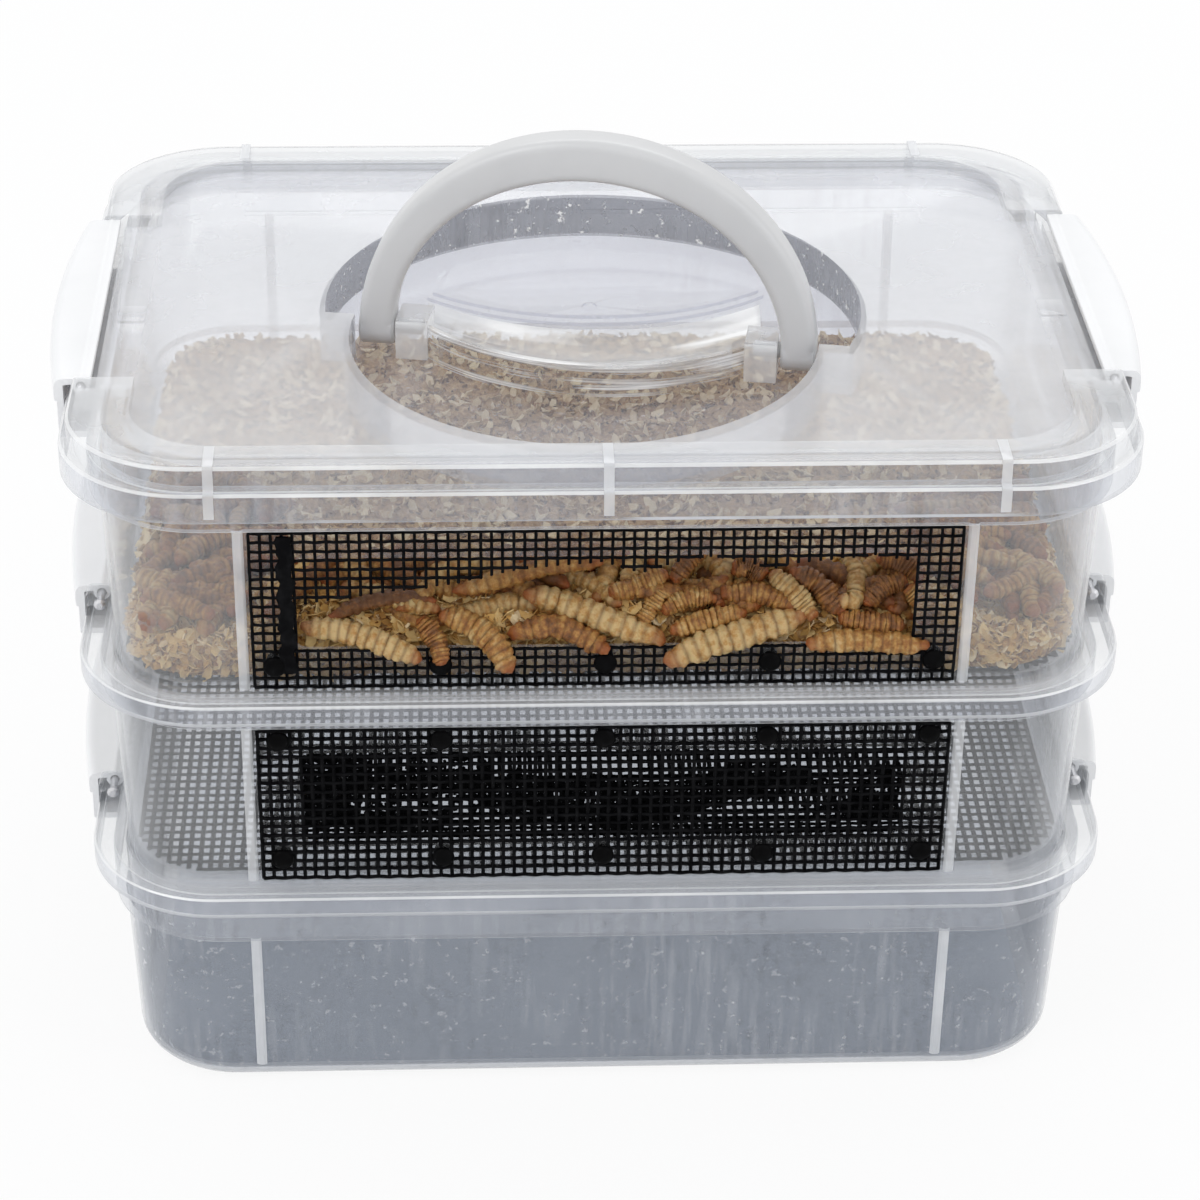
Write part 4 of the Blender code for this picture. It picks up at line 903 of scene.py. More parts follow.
def lid_rib(side, x):
    top_y = SKIRT_Y - UPPER_INSET
    proud = 0.6 * MM
    bite = WALL / 2
    outline = [
        (top_y - 12.6 * MM, LID_TOP_Z + proud, 0.4 * MM),
        (top_y + proud, LID_TOP_Z + proud, 1.6 * MM),
        (top_y + proud, LID_LEDGE_Z + proud, 0.6 * MM),
        (SKIRT_Y + proud, LID_LEDGE_Z + proud, 1.4 * MM),
        (SKIRT_Y + proud, LID_SKIRT_Z + 1.6 * MM, 0.4 * MM),
        (SKIRT_Y - bite, LID_SKIRT_Z + 1.6 * MM, 0.0),
        (SKIRT_Y - bite, LID_LEDGE_Z - bite, 0.0),
        (top_y - bite, LID_LEDGE_Z - bite, 0.0),
        (top_y - bite, LID_TOP_Z - bite, 0.0),
        (top_y - 12.6 * MM, LID_TOP_Z - bite, 0.0),
    ]
    outline = soften(outline, 0.0)
    ends = (x - 1.5 * MM, x + 1.5 * MM)
    return loft("lid_rib", [[(end, side * y, z) for y, z in outline] for end in ends])


def lid_shell():
    above = LID_TOP_Z + 2.0 * MM
    near = POCKET_X - 2.0 * MM
    lid = lid_stack("lid_clear", soften([(0.0, LID_SKIRT_Z, 0.7 * MM), (0.0, LID_LEDGE_Z, 1.6 * MM), (5 * MM, LID_LEDGE_Z, 0.0)], 0.0, 4, False))
    rim = [(UPPER_INSET, LID_LEDGE_Z - WALL, 0.0), (UPPER_INSET, LID_TOP_Z, 1.8 * MM), (8 * MM, LID_TOP_Z, 0.0)]
    fuse(lid, lid_stack("upper_form", soften(rim, 0.0, 4, False)))
    openings = [prism("pocket", panel_outline(0.0), PANEL_Z, above)]
    openings += both_sides("widening", near, NOTCH_HALF_Y, PANEL_Z, above)
    openings += both_sides("notch", NOTCH_X, NOTCH_HALF_Y, LID_LEDGE_Z, above)
    cut(lid, *openings)
    inset = UPPER_INSET + WALL
    hollow = lid_stack("hollow", [(inset, LID_LEDGE_Z - 2 * WALL), (inset, LID_TOP_Z - WALL)])
    walls = [prism("pocket", panel_outline(WALL), PANEL_Z - WALL, above)]
    walls += both_sides("widening", near, NOTCH_HALF_Y + WALL, PANEL_Z - WALL, above)
    walls += both_sides("notch", NOTCH_X - WALL, NOTCH_HALF_Y + 4.0 * MM, LID_LEDGE_Z - WALL, above)
    cut(hollow, *walls)
    cut(lid, hollow)
    cut(lid, lid_stack("mouth", [(WALL, LID_SKIRT_Z - 2.0 * MM), (WALL, LID_LEDGE_Z - WALL)]))
    ring_inset = RIM_INSET + WALL + 0.6 * MM
    low = LID_LEDGE_Z - WALL - 4.0 * MM
    ring = loft("ring", [[(x, y, z) for x, y in skirt_outline(ring_inset)] for z in (low, LID_TOP_Z - WALL / 2)])
    inside = [[(x, y, z) for x, y in skirt_outline(ring_inset + 1.6 * MM)] for z in (low - 2.0 * MM, above)]
    cut(ring, loft("inside", inside), *both_sides("widening", near, NOTCH_HALF_Y, PANEL_Z - WALL / 2, above))
    return fuse(lid, ring)


def add_recess(lid):
    pan_z = RECESS_Z - WALL
    dish_deep = 1.2 * MM
    fuse(lid, place(prism("pan", recess_outline(WALL), pan_z, PANEL_Z - WALL / 2), recess_frame))
    fuse(lid, prism("dish", lens_outline(WALL), pan_z - dish_deep, pan_z + WALL / 2))
    cut(lid, place(prism("hollow", recess_outline(0.0), RECESS_Z, PANEL_Z + 2.0 * MM), recess_frame))
    cut(lid, prism("dish", lens_outline(0.0), RECESS_Z - dish_deep, RECESS_Z + 2.0 * MM))
    fuse(lid, bowl_wall("bowl", 0.0, 0, pan_z + WALL / 4))
    cut(lid, bowl_wall("under_bowl", WALL, 4, pan_z - dish_deep - 2.0 * MM))
    pivot = recess_frame @ Matrix.Translation((0, HANDLE_SHIFT, 0))
    bite = RECESS_Z - WALL / 2
    top = PANEL_Z - 1.2 * MM
    deep = 7.5 * MM
    outline = soften([(-deep, bite, 0.0), (deep, bite, 0.0), (deep, top, 2.4 * MM), (-deep, top, 2.4 * MM)], 0.0, 5)
    for side in (-1, 1):
        xs = (side * 49.5 * MM, side * 59.5 * MM)
        fuse(lid, place(loft("boss", [[(x, y, z) for y, z in outline] for x in xs]), pivot))
    floor_z = RECESS_Z - dish_deep
    rings = []
    for share, lift in ((1.0, -0.9), (1.0, 0.5), (0.85, 1.1), (0.55, 1.45), (0.2, 1.5)):
        turns = [math.tau * k / 24 for k in range(24)]
        ring = [(share * 2.4 * MM * math.cos(a), 27.0 * MM + share * 2.4 * MM * math.sin(a)) for a in turns]
        rings.append([(x, y, floor_z + lift * MM) for x, y in ring])
    fuse(lid, loft("gate_nub", rings))


def inside_recess(point, growth):
    """True where a point lies inside the plan of the recess, grown by this much."""
    local = recess_frame.inverted() @ Vector((point.x, point.y, 0.0))
    if local.y > SHOULDER_SHIFT - growth:
        return local.xy.length < 84.0 * MM + growth
    x = local.x / (72.4 * MM + growth)
    y = (local.y - FRONT_SHIFT) / (75.0 * MM + growth)
    return x * x + y * y < 1


def recess_finish(centre, normal):
    """Numbers inside the recess: floor 2, rear side with painted shade 3, glassy bowl 6, boss and shoulder with
    painted highlight 7.
    """
    local = recess_frame.inverted() @ Vector((centre.x, centre.y, 0.0))
    # the boss tops take the painted highlight
    boss = 49.3 * MM < abs(local.x) < 59.8 * MM and abs(local.y - HANDLE_SHIFT) < 7.8 * MM
    if boss and centre.z > RECESS_Z + 0.1 * MM:
        return 7
    if inside_recess(centre, -3.0 * MM):
        return 6 if centre.z > RECESS_Z + 0.15 * MM else 2
    if abs(normal.z) > 0.3 or local.y < SHOULDER_SHIFT - 4.0 * MM:
        return 2
    # the shoulder takes the painted highlight, the rest of the rear side the painted shade
    shoulder = abs(local.y - SHOULDER_SHIFT) < 2.5 * MM
    return 7 if shoulder else 3


def lid_finish(centre, normal):
    """Numbers of the lid's finishes: rim with painted light 0, frosted panel 1, recess 2, 3, 6 and 7, edge with
    painted highlight 4, rib line with painted highlight 5, front band 8, skirt with painted shade 9.
    """
    flat = abs(normal.z) > 0.9
    if flat and PANEL_Z - WALL - 0.2 * MM < centre.z < PANEL_Z + 0.6 * MM:
        return 1
    if inside_recess(centre, 3.0 * MM) and centre.z < PANEL_Z + 0.1 * MM:
        return recess_finish(centre, normal)
    rib = min(abs(abs(centre.x) - 114.0 * MM), abs(centre.x)) < 1.6 * MM
    top_y = SKIRT_Y - UPPER_INSET
    proud = abs(centre.y) > SKIRT_Y + 0.1 * MM or centre.z > LID_TOP_Z + 0.1 * MM
    on_wall = centre.z > LID_LEDGE_Z + 0.1 * MM and abs(centre.y) > top_y + 0.1 * MM
    # rib faces take the painted highlight
    if rib and (proud or on_wall):
        return 5
    # the rounds and the skirt's underside get the painted highlight
    skirt_edge = normal.z < -0.9 and centre.z < LID_SKIRT_Z + 0.2 * MM
    if rolled(normal) or skirt_edge:
        return 4
    # upright faces below the ledge take the painted shade, level faces the painted light
    if abs(normal.z) < 0.3:
        return 8 if centre.z > LID_LEDGE_Z else 9
    return 0


def make_lid():
    lid = lid_shell()
    add_recess(lid)
    fuse(lid, *[lid_rib(side, x) for x in (-114 * MM, 0.0, 114 * MM) for side in (-1, 1)])
    for side in (-1, 1):
        mark = side_block("mark", side, 139.5 * MM, 147.5 * MM, 5.5 * MM, PANEL_Z - WALL / 2, PANEL_Z + 0.5 * MM)
        fuse(lid, place(mark, Matrix.Translation((0, -8.0 * MM, 0))))
    finishes = [level_faces_painted_light, panel_plastic, recess_plastic, recess_wall_painted_shade, edge_painted_highlight]
    finishes += [rib_painted_highlight, bowl_plastic, boss_painted_highlight, wall_plastic, upright_faces_painted_shade]
    round_edges(lid, 0.45 * MM)
    finish_piece(lid, "lid", ["lid"], finishes)
    paint_faces(lid, lid_finish)


make_lid()

# %% [markdown]
# The handle is an arch swept between two ellipses. Sweeping one soft-cornered section keeps its edges even,
# which a carved block would not. Its feet are round, because they turn on the pins in the recess.
# %% Handle
HANDLE_DEPTH = 12.0 * MM


def handle_section(turn):
    outer = Vector((71.5 * MM * math.cos(turn), 0, 67.5 * MM * math.sin(turn)))
    inner = Vector((60.5 * MM * math.cos(turn), 0, 54.0 * MM * math.sin(turn)))
    across = inner - outer
    wide = across.length
    along = across.normalized()
    half = HANDLE_DEPTH / 2
    flat = soften([(0.0, -half), (0.0, half), (wide, half), (wide, -half)], 3.0 * MM, 5)
    return [tuple(outer + along * a + Vector((0, b, 0))) for a, b in flat]


def make_handle():
    steps = 72
    handle = loft("carry_handle_arch", [handle_section(math.pi * k / steps) for k in range(steps + 1)])
    for side in (-1, 1):
        ends = (60.5 * MM, 61.3 * MM, 70.7 * MM, 71.5 * MM)
        radii = (5.2 * MM, 6.0 * MM, 6.0 * MM, 5.2 * MM)
        foot = [(radius, side * x) for radius, x in zip(radii, ends)]
        fuse(handle, rod("foot", "X", foot, steps=40))
    place(handle, handle_frame)
    finish_piece(handle, "carry_handle", ["carry_handle"], [handle_white_painted_shade], 40.0)


make_handle()

# %% [markdown]
# Six wings clip the tiers together. Each has a finger plate that bulges outwards, a barrel on a hinge pin and
# a clip wall whose hook grips under the lip below. The sections are lofted, then the clip is fused on.
# %% Latches


def latch_section(reach):
    back = -3.0 * MM
    top = 2.4 * MM
    low = top - 7.4 * MM
    plate = 1.9 * MM
    edge = 5.6 * MM
    outline = [
        (back, top, 0.5 * MM),
        (reach, top, edge),
        (reach, low, 0.8 * MM),
        (reach - plate, low, 0.8 * MM),
        (reach - plate, top - plate, edge - plate),
        (back, top - plate, 0.5 * MM),
    ]
    return soften(outline, 0.0, 6)


def make_latch(name, side, half_x, ledge_z, skirt_height):
    half = 58.0 * MM
    hinge_x = half_x - 5.0 * MM
    stations = 30
    rings = []
    for k in range(stations + 1):
        y = half * math.sin(math.radians(-90 + 180 * k / stations))
        bulge = 1 - (y / half) ** 2
        reach = (8.2 + 4.8 * bulge) * MM
        rings.append([(side * u, y, w) for u, w in latch_section(reach)])
    latch = loft(name, rings)
    hook_top = -4.0 * MM - skirt_height - 1.8 * MM
    tip = SKIRT_X - LIP_INSET + GAP - hinge_x
    clip = [
        (5.4 * MM, 1.45 * MM, 0.0),
        (5.4 * MM, hook_top, 0.0),
        (tip, hook_top, 0.3 * MM),
        (tip, hook_top - 2.0 * MM, 1.0 * MM),
        (7.4 * MM, hook_top - 2.0 * MM, 0.8 * MM),
        (7.4 * MM, 1.45 * MM, 0.0),
    ]
    flat = soften(clip, 0.0, 3)
    fuse(
        latch,
        loft("clip", [[(side * u, y, w) for u, w in flat] for y in (-half, half)]),
        rod("barrel", "Y", [(2.6 * MM, -half), (2.6 * MM, half)], steps=20),
    )
    cut(latch, rod("bore", "Y", [(1.5 * MM, -half - 2 * MM), (1.5 * MM, half + 2 * MM)], steps=16))
    place(latch, Matrix.Translation((side * hinge_x, 0.0, ledge_z + 4.0 * MM)))
    return latch


LEVELS = (
    ("middle", SKIRT_X, LEDGES[0], SKIRT_HEIGHT),
    ("upper", SKIRT_X, LEDGES[1], SKIRT_HEIGHT),
    ("lid", LID_X, LID_LEDGE_Z, LID_SKIRT_HEIGHT),
)
for level, half_x, ledge_z, skirt_height in LEVELS:
    for side, word in ((-1, "left"), (1, "right")):
        node = f"{level}_latch_{word}"
        latch = make_latch(node + "_wing", side, half_x, ledge_z, skirt_height)
        finish_piece(latch, node, [node], [latch_plastic], 40.0)

# %% [markdown]
# The nets are woven from black thread: each thread passes over one neighbour and under the next. A node tree
# draws the plan as a grid, lifts its crossings up and down by turns, and sweeps a thread along every line.
# %% Geometry Nodes helper


class Tree:
    """A Geometry Nodes tree under construction, with named inputs."""

    def __init__(self, name):
        self.tree = bpy.data.node_groups.new(name, "GeometryNodeTree")
        self.tree.interface.new_socket("Geometry", in_out="INPUT", socket_type="NodeSocketGeometry")
        self.tree.interface.new_socket("Geometry", in_out="OUTPUT", socket_type="NodeSocketGeometry")
        self.source = self.tree.nodes.new("NodeGroupInput")
        self.target = self.tree.nodes.new("NodeGroupOutput")
        self.identifiers = {}

    def input(self, name, kind="NodeSocketFloat"):
        socket = self.tree.interface.new_socket(name, in_out="INPUT", socket_type=kind)
        self.identifiers[name] = socket.identifier
        return self.source.outputs[name]

    def add(self, kind, inputs=(), **settings):
        node = self.tree.nodes.new(kind)
        for key, value in settings.items():
            setattr(node, key, value)
        for key, value in dict(inputs).items():
            if isinstance(value, bpy.types.NodeSocket):
                self.tree.links.new(value, node.inputs[key])
            else:
                node.inputs[key].default_value = value
        return node

    def math(self, operation, first, second=0.0):
        return self.add("ShaderNodeMath", {0: first, 1: second}, operation=operation).outputs[0]

    def finish(self, geometry, material):
        real = self.add("GeometryNodeRealizeInstances", {"Geometry": geometry})
        coloured = self.add("GeometryNodeSetMaterial", {"Geometry": real.outputs[0]})
        coloured.inputs["Material"].default_value = material
        self.tree.links.new(coloured.outputs[0], self.target.inputs[0])

    def run(self, obj, values):
        """Puts the tree on the object with these input values and turns the result into a plain mesh."""
        modifier = obj.modifiers.new("Nodes", "NODES")
        modifier.node_group = self.tree
        for name, value in values.items():
            modifier[self.identifiers[name]] = value
        return settle(obj)


def plan_lines(name, points, edges, along=()):
    """A mesh of points and edges that a tree sweeps. Along marks each point with numbers for the tree."""
    mesh = bpy.data.meshes.new(name)
    mesh.from_pydata(points, edges, [])
    for label, values in dict(along).items():
        mesh.attributes.new(label, "FLOAT", "POINT").data.foreach_set("value", values)
    made = bpy.data.objects.new(name, mesh)
    scene.collection.objects.link(made)
    return made


# %% Tree that weaves a net


def weaving_tree():
    tree = Tree("woven_net")
    lift = tree.input("Lift")
    thread = tree.input("Thread Radius")
    weave = tree.add("GeometryNodeInputNamedAttribute", {"Name": "over"}, data_type="FLOAT").outputs[0]
    height = tree.math("MULTIPLY", weave, lift)
    offset = tree.add("ShaderNodeCombineXYZ", {"Z": height}).outputs[0]
    raised = tree.add("GeometryNodeSetPosition", {"Geometry": tree.source.outputs[0], "Offset": offset})
    lines = tree.add("GeometryNodeMeshToCurve", {"Mesh": raised.outputs[0]})
    profile = tree.add("GeometryNodeCurvePrimitiveCircle", {"Resolution": 5, "Radius": 1.0})
    sized = tree.add("GeometryNodeTransform", {"Geometry": profile.outputs[0]})
    scale = tree.add("ShaderNodeCombineXYZ", {"X": thread, "Y": thread, "Z": thread}).outputs[0]
    tree.tree.links.new(scale, sized.inputs["Scale"])
    swept = tree.add(
        "GeometryNodeCurveToMesh",
        {"Curve": lines.outputs[0], "Profile Curve": sized.outputs[0], "Fill Caps": True},
    )
    tree.finish(swept.outputs[0], net_black)
    return tree


net_tree = weaving_tree()


def cut_end(keep, kept, left_out):
    """Where a thread is cut off: the last kept place on the way to one that is left out."""
    for _ in range(5):
        halfway = tuple((a + b) / 2 for a, b in zip(kept, left_out))
        if keep(*halfway):
            kept = halfway
        else:
            left_out = halfway
    return kept


def net_plan(name, xs, ys, keep, wobble):
    """Warp lines along Y and weft lines along X. A thread is cut off where keep says no."""
    draw = random.Random(SEED)
    points = []
    edges = []
    over = []
    for first, second, turned in ((xs, ys, False), (ys, xs, True)):
        for i, a in enumerate(first):
            before = None
            drift = draw.uniform(-wobble, wobble)
            for j, b in enumerate(second):
                spot = (b, a) if turned else (a, b)
                shift = drift + draw.uniform(-wobble, wobble) / 2
                kept = keep(*spot)
                side = (1.0 if (i + j) % 2 else -1.0) * (-1.0 if turned else 1.0)
                run = [(spot, side)] if kept else []
                if before and before[1] and not kept:
                    run.append((cut_end(keep, before[0], spot), 0.0))
                if before and kept and not before[1]:
                    run.insert(0, (cut_end(keep, spot, before[0]), 0.0))
                for (u, v), lifted in run:
                    points.append((u, v + shift, 0.0) if turned else (u + shift, v, 0.0))
                    over.append(lifted)
                joined = len(run) if before and before[1] else len(run) - 1
                edges += [(k - 1, k) for k in range(len(points) - joined, len(points))]
                before = (spot, kept)
    return plan_lines(name, points, edges, {"over": over})


def steps_between(low, high, pitch):
    count = round((high - low) / pitch)
    return [low + (high - low) * k / count for k in range(count + 1)]


print("net tree", len(net_tree.tree.nodes), "nodes")

# %% Window nets and floor nets
NET_PITCH = 3.2 * MM
FLOOR_DEPTH_PITCH = 4.1 * MM
FLAT_THREAD = Matrix.Diagonal((1.0, 1.0, 0.4, 1.0))
THREADS = {"upper_window": 0.52 * MM, "middle_window": 0.62 * MM, "floor": 0.82 * MM}
STAND = Matrix.Rotation(math.radians(90), 4, "X")
HOLE_SIDE = 91.0 * MM
HOLE_LOW = 13.5 * MM
HOLE_TOPS = (
    (-91, 29), (-80, 31), (-60, 34), (-44, 36), (-25, 41), (-1, 43), (10, 39), (24, 44), (31, 44.5),
    (39, 43), (48, 40), (56, 42), (78, 44.5), (91, 42),
)


def hole_top(x):
    """Height of the upper edge of the torn feeding hole at this distance along the window."""
    for (x0, z0), (x1, z1) in zip(HOLE_TOPS, HOLE_TOPS[1:]):
        if x0 * MM <= x <= x1 * MM:
            return (z0 + (z1 - z0) * (x / MM - x0) / (x1 - x0)) * MM
    return 0.0


def make_window_net(tray, keep):
    half = 104.3 * MM
    thread = THREADS[tray.name + "_window"]
    xs = steps_between(-half + thread, half - thread, NET_PITCH)
    ys = steps_between(thread, tray.net_height - thread, NET_PITCH)
    net = net_plan(tray.name + "_window_net", xs, ys, keep, 0.12 * MM)
    net_tree.run(net, {"Lift": 0.22 * MM, "Thread Radius": thread})
    place(net, tray.front_wall(0.5 * MM, GAP + 0.75 * MM) @ STAND)
    body = tray.name + "_tray"
    return finish_piece(net, body, [tray.name + "_window_mesh"], [], 60.0)


def make_floor_net(tray):
    inset = FOOT_INSET + WALL + 1.4 * MM
    half_x = SKIRT_X - inset
    half_y = SKIRT_Y - inset
    radius = SKIRT_CORNER - inset

    def inside(x, y):
        out_x = abs(x) - (half_x - radius)
        out_y = abs(y) - (half_y - radius)
        return out_x < 0 or out_y < 0 or math.hypot(out_x, out_y) < radius

    thread = THREADS["floor"]
    xs = steps_between(thread - half_x, half_x - thread, NET_PITCH)
    ys = steps_between(thread - half_y, half_y - thread, FLOOR_DEPTH_PITCH)
    net = net_plan(tray.name + "_floor_net", xs, ys, inside, 0.1 * MM)
    net_tree.run(net, {"Lift": 0.22 * MM, "Thread Radius": thread})
    place(net, Matrix.Translation((0, 0, tray.foot_z + GAP + 0.75 * MM)) @ FLAT_THREAD)
    return finish_piece(net, tray.name + "_tray", [tray.name + "_floor_mesh"], [], 60.0)


def shade_patch_mask(x, y):
    """True where patches of dark net are laid behind the middle window as painted shade: long ragged patches side
    by side.
    """
    broad = noise.noise(Vector((x * 30.0, y * 85.0, 3.1)))
    ragged = noise.noise(Vector((x * 240.0, y * 520.0, 8.7))) * 0.5
    middle_part = 1.0 - abs(y - 26.0 * MM) / (30.0 * MM)
    return broad + ragged + 0.4 * middle_part > 0.29


def make_shade_net_patches():
    """Patches of finer dark net behind the middle window, on the inside of the opening, laid as painted shade in
    the tray.
    """
    half = 90.0 * MM
    xs = steps_between(-half, half, 1.5 * MM)
    ys = steps_between(15.0 * MM, middle.net_height - 11.0 * MM, 1.3 * MM)
    # painted shade: dark net patches stand in for the shade inside the middle tray
    net = net_plan("spare_net_layer", xs, ys, shade_patch_mask, 0.5 * MM)
    net_tree.run(net, {"Lift": 0.25 * MM, "Thread Radius": 0.55 * MM})
    place(net, middle.front_wall(0.5 * MM, -1.1 * MM) @ STAND)
    finish_piece(net, "middle_tray", [], [], 60.0)


make_window_net(middle, lambda x, y: True)
make_shade_net_patches()
make_window_net(upper, lambda x, y: not (abs(x) < HOLE_SIDE and HOLE_LOW < y < hole_top(x)))
for tray in (middle, upper):
    make_floor_net(tray)

# %% [markdown]
# Black rivets clamp the window nets. They could be copied by hand; a tree that puts one turned rivet on
# every marked place keeps them alike and gives one mesh for the body.
# %% Rivets


def rivet_shape():
    """One turned rivet along Y: a low dome with a rim outside, a shank, and a flat tail inside."""
    outside = 2 * GAP + 0.9 * MM
    inside = WALL + GAP
    dome = [(3.5 * math.cos(math.radians(a)), 1.7 * math.sin(math.radians(a))) for a in (78, 60, 42, 24, 8)]
    profile = [(radius * MM, -outside - lift * MM) for radius, lift in dome]
    profile += [
        (3.5 * MM, -outside - 0.05 * MM),
        (3.3 * MM, -outside),
        (1.6 * MM, -outside),
        (1.6 * MM, inside),
        (2.6 * MM, inside),
        (2.6 * MM, inside + 0.6 * MM),
        (2.3 * MM, inside + 0.8 * MM),
    ]
    return rod("rivet_shape", "Y", profile, steps=20)


def rivet_tree():
    tree = Tree("rivet_rows")
    shape = tree.input("Rivet", "NodeSocketObject")
    points = tree.add("GeometryNodeMeshToPoints", {"Mesh": tree.source.outputs[0]})
    info = tree.add("GeometryNodeObjectInfo", {"Object": shape, "As Instance": True})
    copies = tree.add(
        "GeometryNodeInstanceOnPoints", {"Points": points.outputs[0], "Instance": info.outputs["Geometry"]}
    )
    tree.finish(copies.outputs[0], rivet_black)
    return tree


def make_rivets(tray, tree, shape, rows):
    ups = (8.5 * MM, tray.net_height - 3.75 * MM)[:rows]
    places = [(k * 48.8 * MM, 0.0, up) for up in ups for k in range(-2, 3)]
    rivets = plan_lines(tray.name + "_rivets", places, [])
    tree.run(rivets, {"Rivet": shape})
    place(rivets, tray.front_wall(0.0, 0.0))
    nodes = [f"{tray.name}_rivet_{number:02d}" for number in range(1, 5 * rows + 1)]
    finish_piece(rivets, tray.name + "_tray", nodes, [], 50.0)


rivet_model = rivet_shape()
rivet_rows = rivet_tree()
for tray, rows in ((middle, 2), (upper, 1)):
    make_rivets(tray, rivet_rows, rivet_model, rows)
bpy.data.objects.remove(rivet_model, do_unlink=True)

# %% [markdown]
# The upper tray is filled with bran. The bed is one closed lump with a rough top, heaped behind the window.
# Loose flakes are then scattered on it by a tree, because thousands of bent scraps are what bran looks like.
# %% Bran bed
BED_FLOOR_Z = upper.foot_z + 1.5 * MM


def bed_height(x, y):
    """Height of the bran over the mesh floor, heaped behind the window and at both front corners."""
    wave = math.sin(x / 0.046 * math.tau + 1.0) * math.cos(y / 0.046 * math.tau)
    heap = math.exp(-((x / 0.095) ** 2) - ((y + 0.062) / 0.034) ** 2)
    pile = math.exp(-(((y + 0.088) / 0.017) ** 2)) / (1 + math.exp((abs(x) - 0.098) / 0.004))
    side = math.exp(-(((abs(x) - 0.119) / 0.017) ** 2) - ((y + 0.058) / 0.045) ** 2)
    lumps = noise.noise(Vector((x, y, 0.3)) * 60.0) * 2.2 + noise.noise(Vector((x, y, 0.7)) * 260.0) * 1.7
    crumbs = noise.noise(Vector((x, y, 1.9)) * 620.0) * 1.0
    return (10.8 + 1.4 * wave + 5.0 * heap + 11.5 * pile + 3.0 * side + lumps + crumbs) * MM


def make_bran_bed():
    corners = rounded_outline(141.8 * MM, 103.8 * MM, 24.0 * MM, 20)
    outline = []
    for start, end in zip(corners, corners[1:] + corners[:1]):
        cells = max(1, round(math.dist(start, end) / (2.2 * MM)))
        outline += [tuple(a + (b - a) * k / cells for a, b in zip(start, end)) for k in range(cells)]
    rings = [[(x, y, BED_FLOOR_Z) for x, y in outline]]
    shares = [1.0] + [0.985 - 0.965 * k / 60 for k in range(61)]
    for number, share in enumerate(shares):
        ring = []
        for x, y in outline:
            drop = 0.72 if number == 0 else 1.0
            ring.append((share * x, share * y, BED_FLOOR_Z + drop * bed_height(share * x, share * y)))
        rings.append(ring)
    bed = loft("bran_bed", rings)
    finish_piece(bed, "upper_tray", ["bran_bedding"], [bran_plain], 70.0)
    return bed


bran_bed = make_bran_bed()

# %% Tree that scatters flakes


def flake_tree(name, smallest, largest, finish):
    tree = Tree(name)
    density = tree.input("Density")
    shape = tree.input("Flake", "NodeSocketObject")
    seed = tree.input("Seed", "NodeSocketInt")
    normal = tree.add("GeometryNodeInputNormal").outputs[0]
    upright = tree.add("ShaderNodeSeparateXYZ", {0: normal}).outputs["Z"]
    top = tree.add("FunctionNodeCompare", {0: upright, 1: -0.3}, operation="GREATER_THAN", data_type="FLOAT")
    spread = tree.add(
        "GeometryNodeDistributePointsOnFaces",
        {"Mesh": tree.source.outputs[0], "Selection": top.outputs[0], "Density": density, "Seed": seed},
    )
    turn = tree.add(
        "FunctionNodeRandomValue", {0: (-1.1, -1.1, 0.0), 1: (1.1, 1.1, math.tau), "Seed": seed}, data_type="FLOAT_VECTOR"
    )
    size = tree.add("FunctionNodeRandomValue", {2: smallest, 3: largest, "Seed": seed}, data_type="FLOAT")
    info = tree.add("GeometryNodeObjectInfo", {"Object": shape, "As Instance": True})
    copies = tree.add(
        "GeometryNodeInstanceOnPoints",
        {
            "Points": spread.outputs[0],
            "Instance": info.outputs["Geometry"],
            "Rotation": turn.outputs[0],
            "Scale": size.outputs[1],
        },
    )
    tone = tree.add("FunctionNodeRandomValue", {2: 0.0, 3: 1.0, "Seed": seed}, data_type="FLOAT")
    toned = tree.add(
        "GeometryNodeStoreNamedAttribute",
        {"Geometry": copies.outputs[0], "Name": "tone", "Value": tone.outputs[1]},
        data_type="FLOAT",
        domain="INSTANCE",
    )
    tree.finish(toned.outputs[0], finish)
    return tree


def flake_shape():
    """A bent scrap of husk, a few tenths of a millimetre thick."""
    outline = [(-1.8, -0.5), (-0.4, -1.0), (1.3, -0.8), (1.9, 0.3), (0.6, 1.0), (-1.2, 0.8)]
    bend = (0.9, 0.1, 0.5, 1.0, 0.0, 0.6)
    rings = []
    for lift in (0.0, 0.25):
        rings.append([(x * MM, y * MM, (b + lift) * MM) for (x, y), b in zip(outline, bend)])
    return loft("flake_shape", rings)


def copy_of(obj, name):
    made = bpy.data.objects.new(name, obj.data.copy())
    scene.collection.objects.link(made)
    return made


flake_model = flake_shape()
flakes = copy_of(bran_bed, "bran_flakes")
scatter = flake_tree("loose_flakes", 0.4, 1.5, bran_flake)
scatter.run(flakes, {"Density": 118000.0, "Flake": flake_model, "Seed": SEED})
finish_piece(flakes, "upper_tray", [], [], 40.0)


def front_strip(obj, name):
    """The part of the bed just behind the window, where the larvae lie in golden chaff."""
    made = copy_of(obj, name)
    bm = bmesh.new()
    bm.from_mesh(made.data)
    spare = []
    for face in bm.faces:
        spot = face.calc_center_median()
        if spot.y > -76.0 * MM or spot.z < BED_FLOOR_Z + 2.0 * MM:
            spare.append(face)
    bmesh.ops.delete(bm, geom=spare, context="FACES")
    bm.to_mesh(made.data)
    bm.free()
    return made


